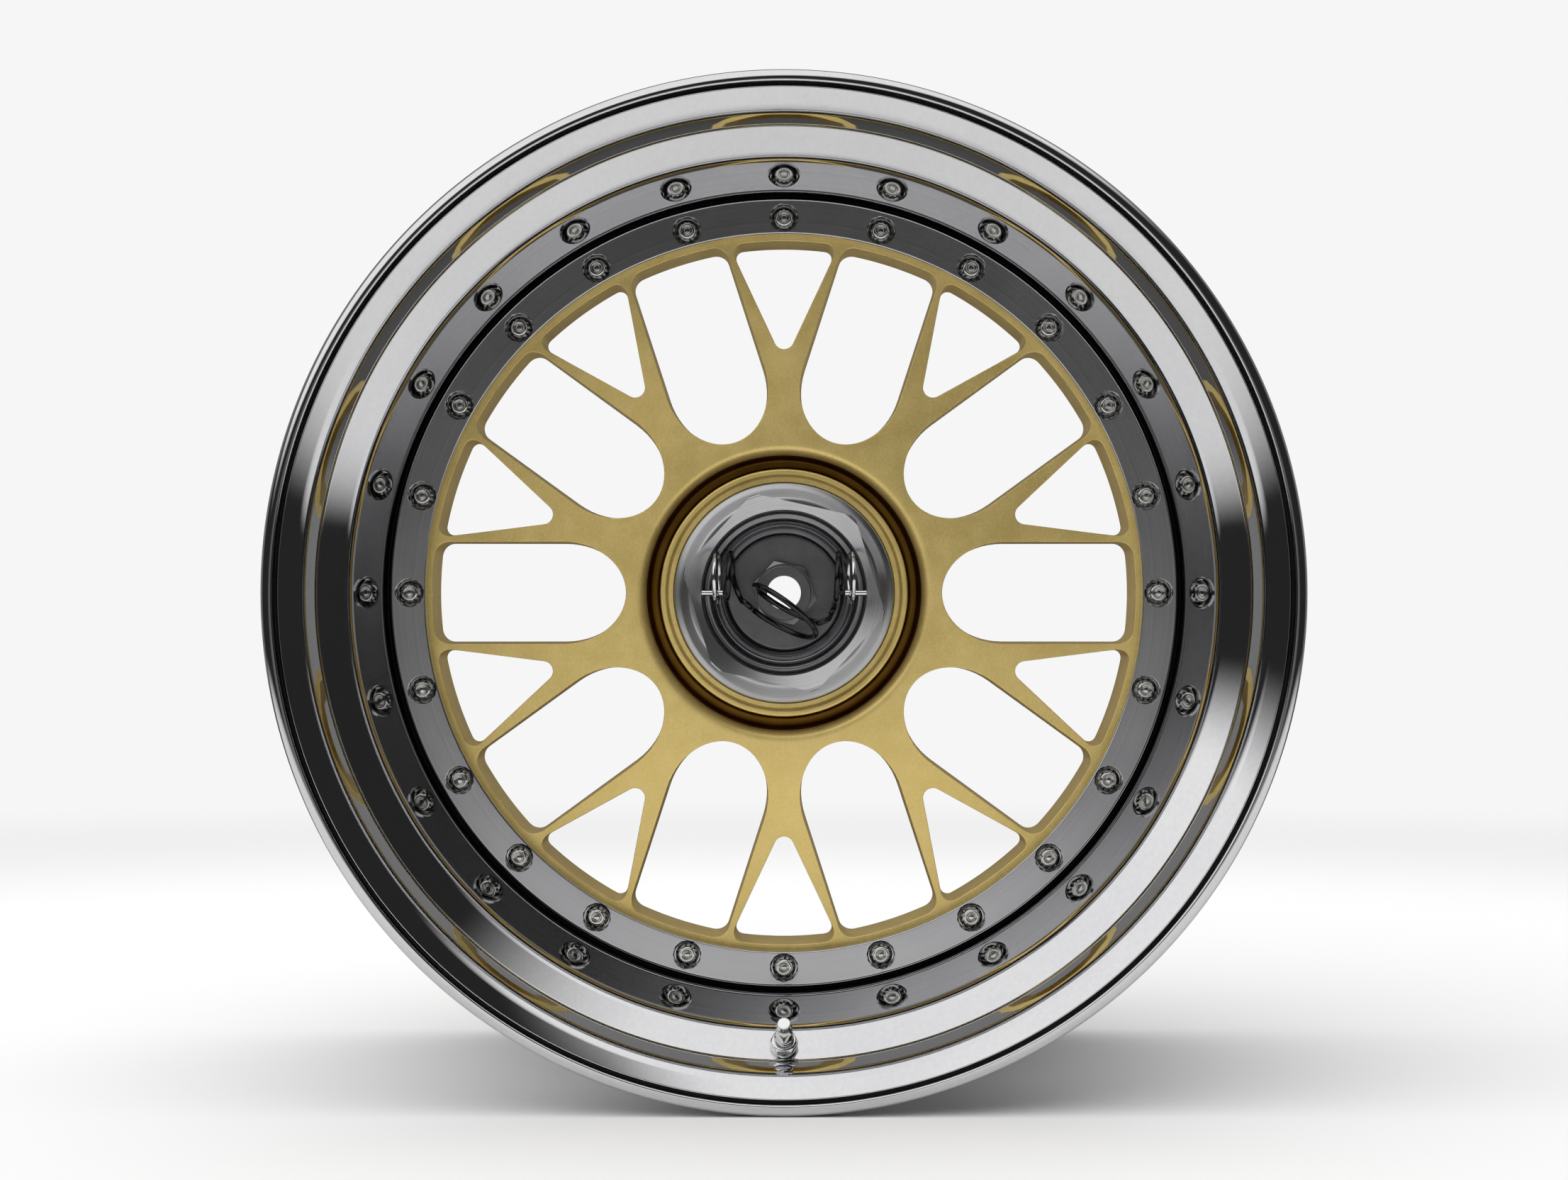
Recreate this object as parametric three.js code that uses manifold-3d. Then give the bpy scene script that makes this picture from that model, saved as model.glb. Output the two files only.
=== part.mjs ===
// A three-piece forged racing wheel with a centre-lock nut, in millimetres, +Z up.
// The wheel's axle lies along Y, its front faces -Y, and the origin is on the axle at mid-width.
// Depths are measured back from the front flange plane, so y = depth - WIDTH / 2.
import * as THREE from "three";
import { mergeVertices } from "three/addons/utils/BufferGeometryUtils.js";
import Module from "manifold-3d";

const wasm = await Module();
wasm.setup();

const RAD = Math.PI / 180;

// ---------- Driving dimensions ----------
const GAP = 0.3; // between pieces that touch
const RIM_FACETS = 48;
const DISC_FACETS = 40;
const HUB_FACETS = 36;

// Rim
const WIDTH = 306; // over both flanges
const FRONT_Y = -WIDTH / 2;
const FLANGE_R = 248.5;
const FLANGE_THICK = 13.3;
const BEAD_SEAT_R = FLANGE_R - 17.5; // an 18-inch seat is 462 mm across
const BEAD_SEAT_END_R = BEAD_SEAT_R - 1.4;
const FRONT_SEAT_END = 34.4; // depth
const RIM_WALL = 4.9;
const WELL_R = FLANGE_R - 43.1; // tyre side of the barrel's middle
const FLANGE_EASE = { r: 3, depth: 4.5 }; // slope over each flange's front edge
const FLANGE_FRONT_LAND = 2;
const FLANGE_BACK_BEVEL = 2;
const BEAD_RAMP = { r: 3, depth: 4 }; // from the bead seat to the flange's back
const BARREL_RAMP = { start: WIDTH / 2 - 115, end: WIDTH / 2 - 65 }; // y, well to rear shelf
const BARREL_SHELF = { r: FLANGE_R - 24, end: WIDTH / 2 - 43 };
const BARREL_FILLET = 4; // inside, where the bolted flange meets the well
const REAR_LIP = { land: 6, r: 2, depth: 3, step: 12 }; // turned inner edge of the rear flange
const LIP_WALL_TOP = { r: FLANGE_R - 38.3, depth: 44 };
const LIP_STEP_FOOT = { r: FLANGE_R - 35.1, depth: 39.2 };
const LIP_STEP_TOP = { r: FLANGE_R - 22.9, depth: 31.4 };
const LIP_SHOULDER = { r: FLANGE_R - 17.1, depth: 7.2 };
const LIP_BAND_TOP = { r: FLANGE_R - 8.5, depth: 2.2 };

// Bolted ring
const RING_DEPTH = 98; // front face of the lip's bolting ring
const RING_THICK = 10;
const RING_INNER_R = WELL_R - 24.4;
const RING_GROOVE_R = WELL_R - 5.8;
const RING_CHAMFER = 1;
const BARREL_FLANGE_THICK = 8;
const BOLT_COUNT = 24;
const BOLT_CIRCLE_R = WELL_R - 16.4;
const BOLT_R = 3; // M6
const BOLT_HOLE_CLEARANCE = 0.3;
const BOLT_HEAD_R = 4.3; // twelve-point
const BOLT_FLANGE_R = 6;
const BOLT_FLANGE_THICK = 1.6;
const BOLT_HEAD_HEIGHT = 5.4; // with its flange
const BOLT_TAIL = 9; // beyond the barrel's flange, for the nut
const COUNTERBORE_DEPTH = 5.5;
const SEAL_CHAMFER = 3;

// Centre disc
const THREAD_R = 36; // the hub's radii follow the spindle's thread
const HUB_PAD_R = THREAD_R + 40;
const DISC_RIM_THICK = 24;
const SPOKE_PAIRS = 10;
const SPOKE_PITCH = 360 / SPOKE_PAIRS;
const SPOKE_BACK_RISE = 3; // how far the spokes' back stands in front of the rim's back
const WINDOW_OUTER_R = WELL_R - 28.8;
const WINDOW_INNER_R = HUB_PAD_R + 4.4;
const WINDOW_HALF_WIDTH = 0.14213 * WINDOW_OUTER_R;
const WINDOW_CORNER_R = 7;
// Where the window's round inner end starts, and where a spoke forks.
const WINDOW_WAIST_R = WINDOW_INNER_R + 0.32848 * (WINDOW_OUTER_R - WINDOW_INNER_R);
const FORK_APEX_R = HUB_PAD_R + 0.47614 * (WINDOW_OUTER_R - HUB_PAD_R);
const FORK_APEX_ROUND = 4.3;
const FORK_CORNER_R = 4;
const FORK_HALF_ANGLE = 25;

// Hub
const HUB_FACE_DEPTH = 98;
const HUB_FRONT = FRONT_Y + HUB_FACE_DEPTH;
const HUB_BACK = -8; // y of the face that meets the car's hub
const HUB_GROOVE = { inner: THREAD_R + 26.9, outer: THREAD_R + 33.4, depth: 8 };
const HUB_COLLAR = { outer: THREAD_R + 26.9, step: THREAD_R + 22.8, stepDepth: 1.2 };
const HUB_MOUTH_R = THREAD_R + 19.8;
const HUB_MOUTH_DEPTH = 5;
const SEAT_OUTER_R = THREAD_R + 16.3;
const SEAT_LENGTH = 19;
const PILOT_R = THREAD_R + 6;
const DRIVE_BUSH_COUNT = 5;
const DRIVE_BUSH = { circle: THREAD_R + 28, outer: 8, bore: 6.25, length: 20 };

// Centre-lock nut and spindle
const THREAD_CLEARANCE = 0.3;
const NUT_FLAT_R = THREAD_R + 9;
const NUT_TURN = 12.6; // degrees, where a corner points
const NUT_FRONT = HUB_FRONT - 23;
const NUT_FLANGE_FRONT = HUB_FRONT - 3;
const NUT_FLANGE_R = THREAD_R + 19.4;
const NUT_FLANGE_THICK = 6;
const NUT_BORE_R = THREAD_R + 5;
const NUT_BORE_DEPTH = 18;
const NUT_SPIGOT_R = THREAD_R + 3.6;
const NUT_SPIGOT_LENGTH = 9;
const GUARD_RING = { inner: THREAD_R + 3.6, length: 3 };
const CONE_MOUTH_R = THREAD_R + 13;
const CONE_LENGTH = 17;
const CONE_HALF_ANGLE = 24;
const SPINDLE_BORE_R = THREAD_R - 5.8;
const SPINDLE_WEB_R = THREAD_R - 12;
const SPINDLE_COLLAR_R = THREAD_R + 14;
const SPINDLE_COLLAR_THICK = 6;
const PLUG = { r: THREAD_R - 6.2, thick: 9, rim: 1.5, sunk: 6 };
const PLUG_NUT_FLAT_R = 14.5;
const PLUG_NUT_HEIGHT = 5;
const PLUG_BOSS_R = 13.6;
const PLUG_HOLE_R = 8.5;

// Safety clip
const CLIP_PIN_Y = NUT_FRONT + 6;
const CLIP_PIN_R = 1.5;
const CLIP_PIN_REACH = 1.7; // into the nut's wall
const CLIP_WIRE_R = 1.4;
const CLIP_RING_R = 12.1;
const CLIP_RING_TUBE_R = 1.1;
const CLIP_RING_LEAN = 34; // degrees forward of upright
const CLIP_RING_OFFSET = CLIP_RING_R - CLIP_RING_TUBE_R - CLIP_PIN_R - GAP; // pin to ring centre
const CLIP_RING_TOP = CLIP_RING_OFFSET * Math.cos(CLIP_RING_LEAN * RAD) + CLIP_RING_R + CLIP_RING_TUBE_R;
const CLIP_RING_X = Math.sqrt((NUT_BORE_R - 1.57) ** 2 - CLIP_RING_TOP ** 2); // clear of the nut's bore
const CLIP_PIN_INNER_X = CLIP_RING_X - 3.1;
// Where the wire's two legs pass between the finger loops and the coil, y behind the pins.
const CLIP_LEG = {
  left: { x: CLIP_PIN_INNER_X - 9.4, y: 3, z: -4 },
  right: { x: CLIP_PIN_INNER_X - 6.4, y: 1, z: -9.5 },
};
const CLIP_COIL = { r: 19.2, pitch: 9, lean: 12, slope: 33, y: NUT_FRONT - 6, startX: -3.2, startZ: -14.4 };

// Tyre valve
const VALVE_ANGLE = 180; // degrees clockwise from the top
const VALVE_HOLE_R = 4.15;
const VALVE_WASHER = { r: 6.65, thick: 1.5 };
const VALVE_NUT = { flat: 5.85, height: 5 };
const VALVE_STEM_R = 3.85;
const VALVE_NECK_R = 2.6;
const VALVE_BORE_R = 1.9;
const VALVE_STEM_TOP = 22.5;
const VALVE_FOOT = { r: 5.8, thick: 2 };
const VALVE_GROMMET = { r: 6.4, thick: 2.5 };
const VALVE_CAP = { r: 4.1, tip: 3.2, bottom: 12.5, top: 26 };
const VALVE_CORE_PIN_R = 0.7;

const at = (depth) => FRONT_Y + depth;

// ---------- Finishes ----------
const finish = (color, roughness, metalness) => ({ color, roughness, metalness });
const FINISH = {
  polished: finish(0x8c8c8c, 0.08, 1),
  gold: finish(0xa8924a, 0.42, 0.9),
  steel: finish(0x9a9a9a, 0.22, 1),
  darkSteel: finish(0x3c3c3e, 0.35, 1),
  blackWire: finish(0x0c0c0d, 0.2, 0.6),
  rubber: finish(0x141414, 0.7, 0),
  chrome: finish(0xd0d0d0, 0.05, 1),
  sealant: finish(0x55575a, 0.6, 0),
};

const wheel = new THREE.Group();

function piece(name, geometry, look, parent = wheel) {
  const mesh = new THREE.Mesh(geometry, new THREE.MeshStandardMaterial(look));
  mesh.name = name;
  parent.add(mesh);
  return mesh;
}

// ---------- Shape helpers ----------
// A closed profile of [radius, y] points, anticlockwise, turned about the Y axis.
function ring(profile, facets = HUB_FACETS) {
  const points = [...profile, profile[0]].map(([r, y]) => new THREE.Vector2(r, y));
  return new THREE.LatheGeometry(points, facets, Math.PI / facets);
}

// An open profile that starts and ends on the Y axis, turned about it.
function turned(profile, facets = HUB_FACETS) {
  return new THREE.LatheGeometry(
    profile.map(([r, y]) => new THREE.Vector2(r, y)),
    facets,
  );
}

const tube = (inner, outer, low, high, facets) =>
  ring([[inner, low], [outer, low], [outer, high], [inner, high]], facets);

// A bar along Y between two heights. The radius runs to its corners.
const bar = (r, low, high, facets = HUB_FACETS) =>
  new THREE.CylinderGeometry(r, r, high - low, facets).translate(0, (low + high) / 2, 0);

const hexBar = (flatRadius, low, high) => bar(flatRadius / Math.cos(30 * RAD), low, high, 6);

// An outline in the wheel's plane, x across and y outwards, between two depths along Y.
function plate(shape, low, high, curveSegments) {
  const solid = new THREE.ExtrudeGeometry(shape, {
    depth: high - low, bevelEnabled: false, curveSegments,
  });
  return solid.rotateX(Math.PI / 2).translate(0, high, 0);
}

function toSolid(geometry) {
  const bare = geometry.clone();
  bare.deleteAttribute("normal");
  bare.deleteAttribute("uv");
  const merged = mergeVertices(bare, 1e-4);
  return new wasm.Manifold(
    new wasm.Mesh({
      numProp: 3,
      vertProperties: new Float32Array(merged.attributes.position.array),
      triVerts: new Uint32Array(merged.index.array),
    }),
  );
}

function toGeometry(solid) {
  const mesh = solid.getMesh();
  const geometry = new THREE.BufferGeometry();
  geometry.setAttribute("position", new THREE.BufferAttribute(mesh.vertProperties, 3));
  geometry.setIndex(new THREE.BufferAttribute(mesh.triVerts, 1));
  geometry.computeVertexNormals();
  return geometry;
}

const cut = (geometry, ...tools) =>
  toGeometry(tools.reduce((solid, tool) => solid.subtract(toSolid(tool)), toSolid(geometry)));

const join = (geometry, ...others) =>
  toGeometry(others.reduce((solid, other) => solid.add(toSolid(other)), toSolid(geometry)));

// Copies of a tool, evenly round the axle, clockwise from the top as seen from the front.
const around = (count, make, start = 0) =>
  Array.from({ length: count }, (_, i) => make().rotateY((start + (360 / count) * i) * RAD));

// ---------- Rim ----------
const ringFront = at(RING_DEPTH);
const ringBack = ringFront + RING_THICK;
const discRimFront = ringBack + GAP;
const discRimBack = discRimFront + DISC_RIM_THICK;
const barrelFront = discRimBack + GAP;
const barrelFlangeBack = barrelFront + BARREL_FLANGE_THICK;
const boltHoleR = BOLT_R + BOLT_HOLE_CLEARANCE;
const skirtInnerR = WELL_R - RIM_WALL + 0.1;
// The disc has fewer facets than the skirt round it, so it clears the skirt's flats.
const discR = skirtInnerR * Math.cos(Math.PI / RIM_FACETS) - GAP;

const boltHoles = (low, high, r = boltHoleR, facets = 8) =>
  around(BOLT_COUNT, () => bar(r, low, high, facets).translate(0, 0, BOLT_CIRCLE_R));

// The step of the lip, which the valve stands on, as a direction and a normal in (radius, y).
const stepRun = new THREE.Vector2(
  LIP_STEP_FOOT.r - LIP_STEP_TOP.r, LIP_STEP_FOOT.depth - LIP_STEP_TOP.depth).normalize();
const stepNormal = new THREE.Vector2(-stepRun.y, stepRun.x);

// A point behind the lip's visible step or wall, one wall thickness into the tyre side.
const behind = ({ r, depth }, normal, wall = RIM_WALL) => [
  r - normal.x * wall, at(depth) - normal.y * wall];

function outerLip() {
  const seamY = barrelFront - GAP;
  const wallNormal = new THREE.Vector2(-1, -0.15).normalize();
  const profile = [
    [RING_INNER_R, ringBack],
    [RING_INNER_R, ringFront + RING_CHAMFER],
    [RING_INNER_R + RING_CHAMFER, ringFront],
    [RING_GROOVE_R - RING_CHAMFER, ringFront],
    [RING_GROOVE_R, ringFront + RING_CHAMFER + 1],
    [RING_GROOVE_R + 1.1, ringFront + RING_CHAMFER],
    [RING_GROOVE_R + 1.4, ringFront - 2],
    [LIP_WALL_TOP.r, at(LIP_WALL_TOP.depth)],
    [LIP_STEP_FOOT.r, at(LIP_STEP_FOOT.depth)],
    [LIP_STEP_TOP.r, at(LIP_STEP_TOP.depth)],
    [LIP_SHOULDER.r - 2.6, at(LIP_SHOULDER.depth + 6)],
    [LIP_SHOULDER.r, at(LIP_SHOULDER.depth)],
    [LIP_BAND_TOP.r, at(LIP_BAND_TOP.depth)],
    [FLANGE_R - FLANGE_EASE.r - FLANGE_FRONT_LAND, FRONT_Y],
    [FLANGE_R - FLANGE_EASE.r, FRONT_Y],
    [FLANGE_R, at(FLANGE_EASE.depth)],
    [FLANGE_R, at(FLANGE_THICK - FLANGE_BACK_BEVEL)],
    [BEAD_SEAT_R + BEAD_RAMP.r, at(FLANGE_THICK)],
    [BEAD_SEAT_R, at(FLANGE_THICK + BEAD_RAMP.depth)],
    [BEAD_SEAT_END_R, at(FRONT_SEAT_END)],
    behind(LIP_STEP_TOP, stepNormal),
    behind(LIP_STEP_FOOT, stepNormal),
    behind(LIP_WALL_TOP, wallNormal),
    [WELL_R, ringFront],
    [WELL_R, seamY - SEAL_CHAMFER],
    [WELL_R - SEAL_CHAMFER, seamY],
    [skirtInnerR, seamY],
    [skirtInnerR, ringBack],
  ];
  const counterboreR = BOLT_FLANGE_R + BOLT_HOLE_CLEARANCE;
  return cut(
    ring(profile, RIM_FACETS),
    ...boltHoles(ringFront - 5, ringBack + 1),
    ...boltHoles(ringFront - 5, ringFront + COUNTERBORE_DEPTH, counterboreR, 10),
    valveTool(bar(VALVE_HOLE_R, -3 * RIM_WALL, 2, 16)),
  );
}

function innerBarrel() {
  const wellInner = WELL_R - RIM_WALL;
  const rear = -FRONT_Y;
  const seatInner = BEAD_SEAT_END_R - RIM_WALL;
  const profile = [
    [RING_INNER_R + 1, barrelFront],
    [WELL_R - SEAL_CHAMFER, barrelFront],
    [WELL_R, barrelFront + SEAL_CHAMFER],
    [WELL_R, BARREL_RAMP.start],
    [BARREL_SHELF.r, BARREL_RAMP.end],
    [BARREL_SHELF.r, BARREL_SHELF.end],
    [BEAD_SEAT_END_R, rear - FRONT_SEAT_END],
    [BEAD_SEAT_R, rear - FLANGE_THICK - BEAD_RAMP.depth],
    [BEAD_SEAT_R + BEAD_RAMP.r, rear - FLANGE_THICK],
    [FLANGE_R, rear - FLANGE_THICK + FLANGE_BACK_BEVEL],
    [FLANGE_R, rear - FLANGE_EASE.depth],
    [FLANGE_R - FLANGE_EASE.r, rear],
    [FLANGE_R - REAR_LIP.land, rear],
    [BEAD_SEAT_R + REAR_LIP.r, rear - REAR_LIP.depth],
    [seatInner + 1, rear - REAR_LIP.step],
    [seatInner, rear - FRONT_SEAT_END],
    [BARREL_SHELF.r - RIM_WALL, BARREL_SHELF.end + 2],
    [BARREL_SHELF.r - RIM_WALL, BARREL_RAMP.end + 2],
    [wellInner, BARREL_RAMP.start + 2],
    [wellInner, barrelFlangeBack + BARREL_FILLET],
    [wellInner - BARREL_FILLET, barrelFlangeBack],
    [RING_INNER_R + 1, barrelFlangeBack],
  ];
  return cut(ring(profile, RIM_FACETS), ...boltHoles(barrelFront - 1, barrelFlangeBack + 1));
}

// The bead of sealant in the groove where the lip and the barrel meet.
function rimSeal() {
  const seam = barrelFront - GAP / 2;
  const halfWidth = SEAL_CHAMFER - 3 * GAP;
  const profile = [
    [WELL_R - halfWidth - 0.2, seam],
    [WELL_R - 0.2, seam - halfWidth],
    [WELL_R - 0.2, seam + halfWidth],
  ];
  return ring(profile, RIM_FACETS);
}

// ---------- Centre disc ----------
// The space between two spokes: straight sides, a round inner end and an arc along the rim.
function windowShape() {
  const cornerX = WINDOW_HALF_WIDTH - WINDOW_CORNER_R;
  const cornerY = Math.sqrt((WINDOW_OUTER_R - WINDOW_CORNER_R) ** 2 - cornerX ** 2);
  const lean = Math.atan2(cornerX, cornerY);
  const shape = new THREE.Shape();
  shape.moveTo(WINDOW_HALF_WIDTH, WINDOW_WAIST_R);
  shape.absarc(cornerX, cornerY, WINDOW_CORNER_R, 0, Math.PI / 2 - lean);
  shape.absarc(0, 0, WINDOW_OUTER_R, Math.PI / 2 - lean, Math.PI / 2 + lean);
  shape.absarc(-cornerX, cornerY, WINDOW_CORNER_R, Math.PI / 2 + lean, Math.PI);
  for (const quarter of [2, 3]) {
    shape.absellipse(0, WINDOW_WAIST_R, WINDOW_HALF_WIDTH, WINDOW_WAIST_R - WINDOW_INNER_R,
      quarter * Math.PI / 2, (quarter + 1) * Math.PI / 2);
  }
  return shape;
}

// The space in the fork of a spoke: a rounded triangle whose base is an arc along the rim.
function forkShape() {
  const slope = FORK_HALF_ANGLE * RAD;
  const apexY = FORK_APEX_R + FORK_APEX_ROUND;
  const side = new THREE.Vector2(Math.sin(slope), Math.cos(slope));
  const outward = new THREE.Vector2(Math.cos(slope), -Math.sin(slope));
  // The corner's centre lies on a line parallel to the side, at the corner radius inside it.
  const start = new THREE.Vector2(0, apexY).addScaledVector(outward, FORK_APEX_ROUND - FORK_CORNER_R);
  const reach = WINDOW_OUTER_R - FORK_CORNER_R;
  const along = start.dot(side);
  const t = -along + Math.sqrt(along ** 2 - start.lengthSq() + reach ** 2);
  const corner = start.addScaledVector(side, t);
  const lean = Math.atan2(corner.x, corner.y);
  const shape = new THREE.Shape();
  shape.absarc(corner.x, corner.y, FORK_CORNER_R, -slope, Math.PI / 2 - lean);
  shape.absarc(0, 0, WINDOW_OUTER_R, Math.PI / 2 - lean, Math.PI / 2 + lean);
  shape.absarc(-corner.x, corner.y, FORK_CORNER_R, Math.PI / 2 + lean, Math.PI + slope);
  shape.absarc(0, apexY, FORK_APEX_ROUND, Math.PI + slope, 2 * Math.PI - slope);
  return shape;
}

const hubFront = at(HUB_FACE_DEPTH);
const seatFront = hubFront + HUB_MOUTH_DEPTH;
const seatBack = seatFront + SEAT_LENGTH;

function centreDisc() {
  const grooveFloor = hubFront + HUB_GROOVE.depth;
  const profile = [
    [PILOT_R, HUB_BACK],
    [PILOT_R, seatBack + GAP],
    [SEAT_OUTER_R + GAP, seatBack + GAP],
    [SEAT_OUTER_R + GAP, seatFront],
    [HUB_MOUTH_R, seatFront],
    [HUB_MOUTH_R, hubFront + HUB_COLLAR.stepDepth],
    [HUB_COLLAR.step, hubFront + HUB_COLLAR.stepDepth],
    [HUB_COLLAR.step + 1, hubFront],
    [HUB_GROOVE.inner, hubFront],
    [HUB_GROOVE.inner + 1, grooveFloor],
    [HUB_GROOVE.outer - 1.5, grooveFloor],
    [HUB_GROOVE.outer, hubFront + 1],
    [HUB_PAD_R, hubFront],
    [WINDOW_OUTER_R, discRimFront],
    [discR, discRimFront],
    [discR, discRimBack],
    [WINDOW_OUTER_R, discRimBack],
    [WINDOW_OUTER_R - 4, discRimBack - SPOKE_BACK_RISE],
    [HUB_PAD_R + 4, HUB_BACK - 8],
    [HUB_PAD_R, HUB_BACK],
  ];
  const low = hubFront - 5;
  const high = HUB_BACK + 5;
  const collarR = SPINDLE_COLLAR_R + GAP;
  const bushPocket = () =>
    bar(DRIVE_BUSH.outer + GAP, HUB_BACK - DRIVE_BUSH.length - GAP, high, 16)
      .translate(0, 0, DRIVE_BUSH.circle);
  return cut(
    ring(profile, DISC_FACETS),
    ...around(SPOKE_PAIRS, () => plate(windowShape(), low, high, 2), SPOKE_PITCH / 2),
    ...around(SPOKE_PAIRS, () => plate(forkShape(), low, high, 2)),
    ...boltHoles(discRimFront - 1, discRimBack + 1),
    ...around(DRIVE_BUSH_COUNT, bushPocket, SPOKE_PITCH),
    bar(collarR, HUB_BACK - SPINDLE_COLLAR_THICK - GAP, high),
  );
}

// ---------- Rim bolts ----------
function rimBolt() {
  const floor = ringFront + COUNTERBORE_DEPTH - GAP;
  const flangeFront = floor - BOLT_FLANGE_THICK;
  const headFront = floor - BOLT_HEAD_HEIGHT;
  return turned([
    [0, headFront],
    [BOLT_HEAD_R, headFront],
    [BOLT_HEAD_R, flangeFront],
    [BOLT_FLANGE_R, flangeFront],
    [BOLT_FLANGE_R, floor],
    [BOLT_R, floor],
    [BOLT_R, barrelFlangeBack + BOLT_TAIL],
    [0, barrelFlangeBack + BOLT_TAIL],
  ], 8);
}

function addRimBolts() {
  for (let i = 0; i < BOLT_COUNT; i++) {
    const carrier = new THREE.Group();
    carrier.rotation.y = (360 / BOLT_COUNT) * i * RAD;
    wheel.add(carrier);
    const bolt = piece(
      "rim_bolt_" + String(i + 1).padStart(2, "0"), rimBolt(), FINISH.steel, carrier);
    bolt.position.z = BOLT_CIRCLE_R;
  }
}

// ---------- Hub ----------
const coneSlope = Math.tan(CONE_HALF_ANGLE * RAD);
const coneFront = NUT_FLANGE_FRONT + NUT_FLANGE_THICK + GAP;
const coneR = (y) => CONE_MOUTH_R - (y - coneFront) * coneSlope;
const coneBack = coneFront + CONE_LENGTH;

function taperSeat() {
  const clear = GAP / Math.cos(CONE_HALF_ANGLE * RAD);
  const coneEndR = coneR(seatBack) + clear;
  return ring([
    [coneR(seatFront) + clear, seatFront + GAP],
    [SEAT_OUTER_R, seatFront + GAP],
    [SEAT_OUTER_R, seatBack],
    [Math.max(coneEndR, PILOT_R), seatBack],
    [Math.max(coneEndR, PILOT_R), seatBack - 1],
  ]);
}

function thrustCone() {
  const spigotBack = NUT_FLANGE_FRONT + NUT_FLANGE_THICK + NUT_SPIGOT_LENGTH;
  const inner = THREAD_R + 2 * THREAD_CLEARANCE;
  return ring([
    [NUT_SPIGOT_R + GAP, coneFront],
    [CONE_MOUTH_R, coneFront],
    [coneR(coneBack), coneBack],
    [inner, coneBack],
    [inner, spigotBack + GAP],
    [NUT_SPIGOT_R + GAP, spigotBack + GAP],
  ]);
}

function wheelNut() {
  const flangeBack = NUT_FLANGE_FRONT + NUT_FLANGE_THICK;
  const boreFloor = NUT_FRONT + NUT_BORE_DEPTH;
  const threadR = THREAD_R + THREAD_CLEARANCE;
  const cornerR = NUT_FLAT_R / Math.cos(30 * RAD);
  const chamfered = toSolid(hexBar(NUT_FLAT_R, NUT_FRONT, NUT_FLANGE_FRONT + 1)).intersect(
    toSolid(turned([
      [0, NUT_FRONT], [cornerR - 2.5, NUT_FRONT], [cornerR - 1, NUT_FRONT + 2],
      [cornerR - 1, NUT_FLANGE_FRONT + 2], [0, NUT_FLANGE_FRONT + 2],
    ])));
  const hex = toGeometry(chamfered).rotateY(NUT_TURN * RAD);
  const flange = turned([
    [0, NUT_FLANGE_FRONT - 2],
    [cornerR - 2, NUT_FLANGE_FRONT - 2],
    [NUT_FLANGE_R, NUT_FLANGE_FRONT + 2],
    [NUT_FLANGE_R, flangeBack],
    [NUT_SPIGOT_R, flangeBack],
    [NUT_SPIGOT_R, flangeBack + NUT_SPIGOT_LENGTH],
    [0, flangeBack + NUT_SPIGOT_LENGTH],
  ]);
  const pinHole = (side) =>
    bar(CLIP_PIN_R + GAP, 0, CLIP_PIN_REACH + GAP, 12)
      .rotateZ(-side * Math.PI / 2)
      .translate(side * (NUT_BORE_R - 0.2), CLIP_PIN_Y, 0);
  return cut(
    join(hex, flange),
    bar(NUT_BORE_R, NUT_FRONT - 1, boreFloor),
    bar(threadR, NUT_FRONT, flangeBack + NUT_SPIGOT_LENGTH + 1),
    pinHole(1),
    pinHole(-1),
  );
}

// The black ring that lines the floor of the nut's bore, round the spindle's end.
function guardRing() {
  const floor = NUT_FRONT + NUT_BORE_DEPTH;
  return tube(GUARD_RING.inner, NUT_BORE_R - GAP, floor - GUARD_RING.length - GAP, floor - GAP);
}

const spindleFront = NUT_FRONT + NUT_BORE_DEPTH - 1;
const webFront = spindleFront + PLUG.thick + PLUG.sunk;

function spindle() {
  const back = HUB_BACK - GAP;
  const pilotFront = coneBack + 8;
  return ring([
    [SPINDLE_WEB_R, back],
    [SPINDLE_WEB_R, webFront],
    [SPINDLE_BORE_R, webFront],
    [SPINDLE_BORE_R, spindleFront + 1],
    [SPINDLE_BORE_R + 1, spindleFront],
    [THREAD_R - 2, spindleFront],
    [THREAD_R, spindleFront + 2],
    [THREAD_R, pilotFront],
    [PILOT_R - GAP, pilotFront],
    [PILOT_R - GAP, back - SPINDLE_COLLAR_THICK],
    [SPINDLE_COLLAR_R, back - SPINDLE_COLLAR_THICK],
    [SPINDLE_COLLAR_R, back],
  ]);
}

const plugBack = webFront - GAP;
const plugFront = plugBack - PLUG.thick;

function spindlePlug() {
  return ring([
    [PLUG_HOLE_R + 1, plugFront],
    [PLUG.r - PLUG.rim, plugFront],
    [PLUG.r, plugFront + PLUG.rim],
    [PLUG.r, plugBack],
    [PLUG_HOLE_R + 1, plugBack],
  ]);
}

// The hollow nut that closes the plug, with a round boss on its face.
function plugNut() {
  const back = plugFront - GAP;
  const front = back - PLUG_NUT_HEIGHT;
  const boss = bar(PLUG_BOSS_R, front - 1.2, front + 1);
  const hex = hexBar(PLUG_NUT_FLAT_R, front, back).rotateY(NUT_TURN * RAD);
  return cut(join(hex, boss), bar(PLUG_HOLE_R, front - 2, back + 1));
}

function addDriveBushes() {
  for (let i = 0; i < DRIVE_BUSH_COUNT; i++) {
    const carrier = new THREE.Group();
    carrier.rotation.y = (SPOKE_PITCH + (360 / DRIVE_BUSH_COUNT) * i) * RAD;
    wheel.add(carrier);
    const shape = tube(DRIVE_BUSH.bore, DRIVE_BUSH.outer,
      HUB_BACK - DRIVE_BUSH.length, HUB_BACK - GAP, 16);
    piece("drive_bush_" + (i + 1), shape, FINISH.steel, carrier).position.z = DRIVE_BUSH.circle;
  }
}

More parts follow.
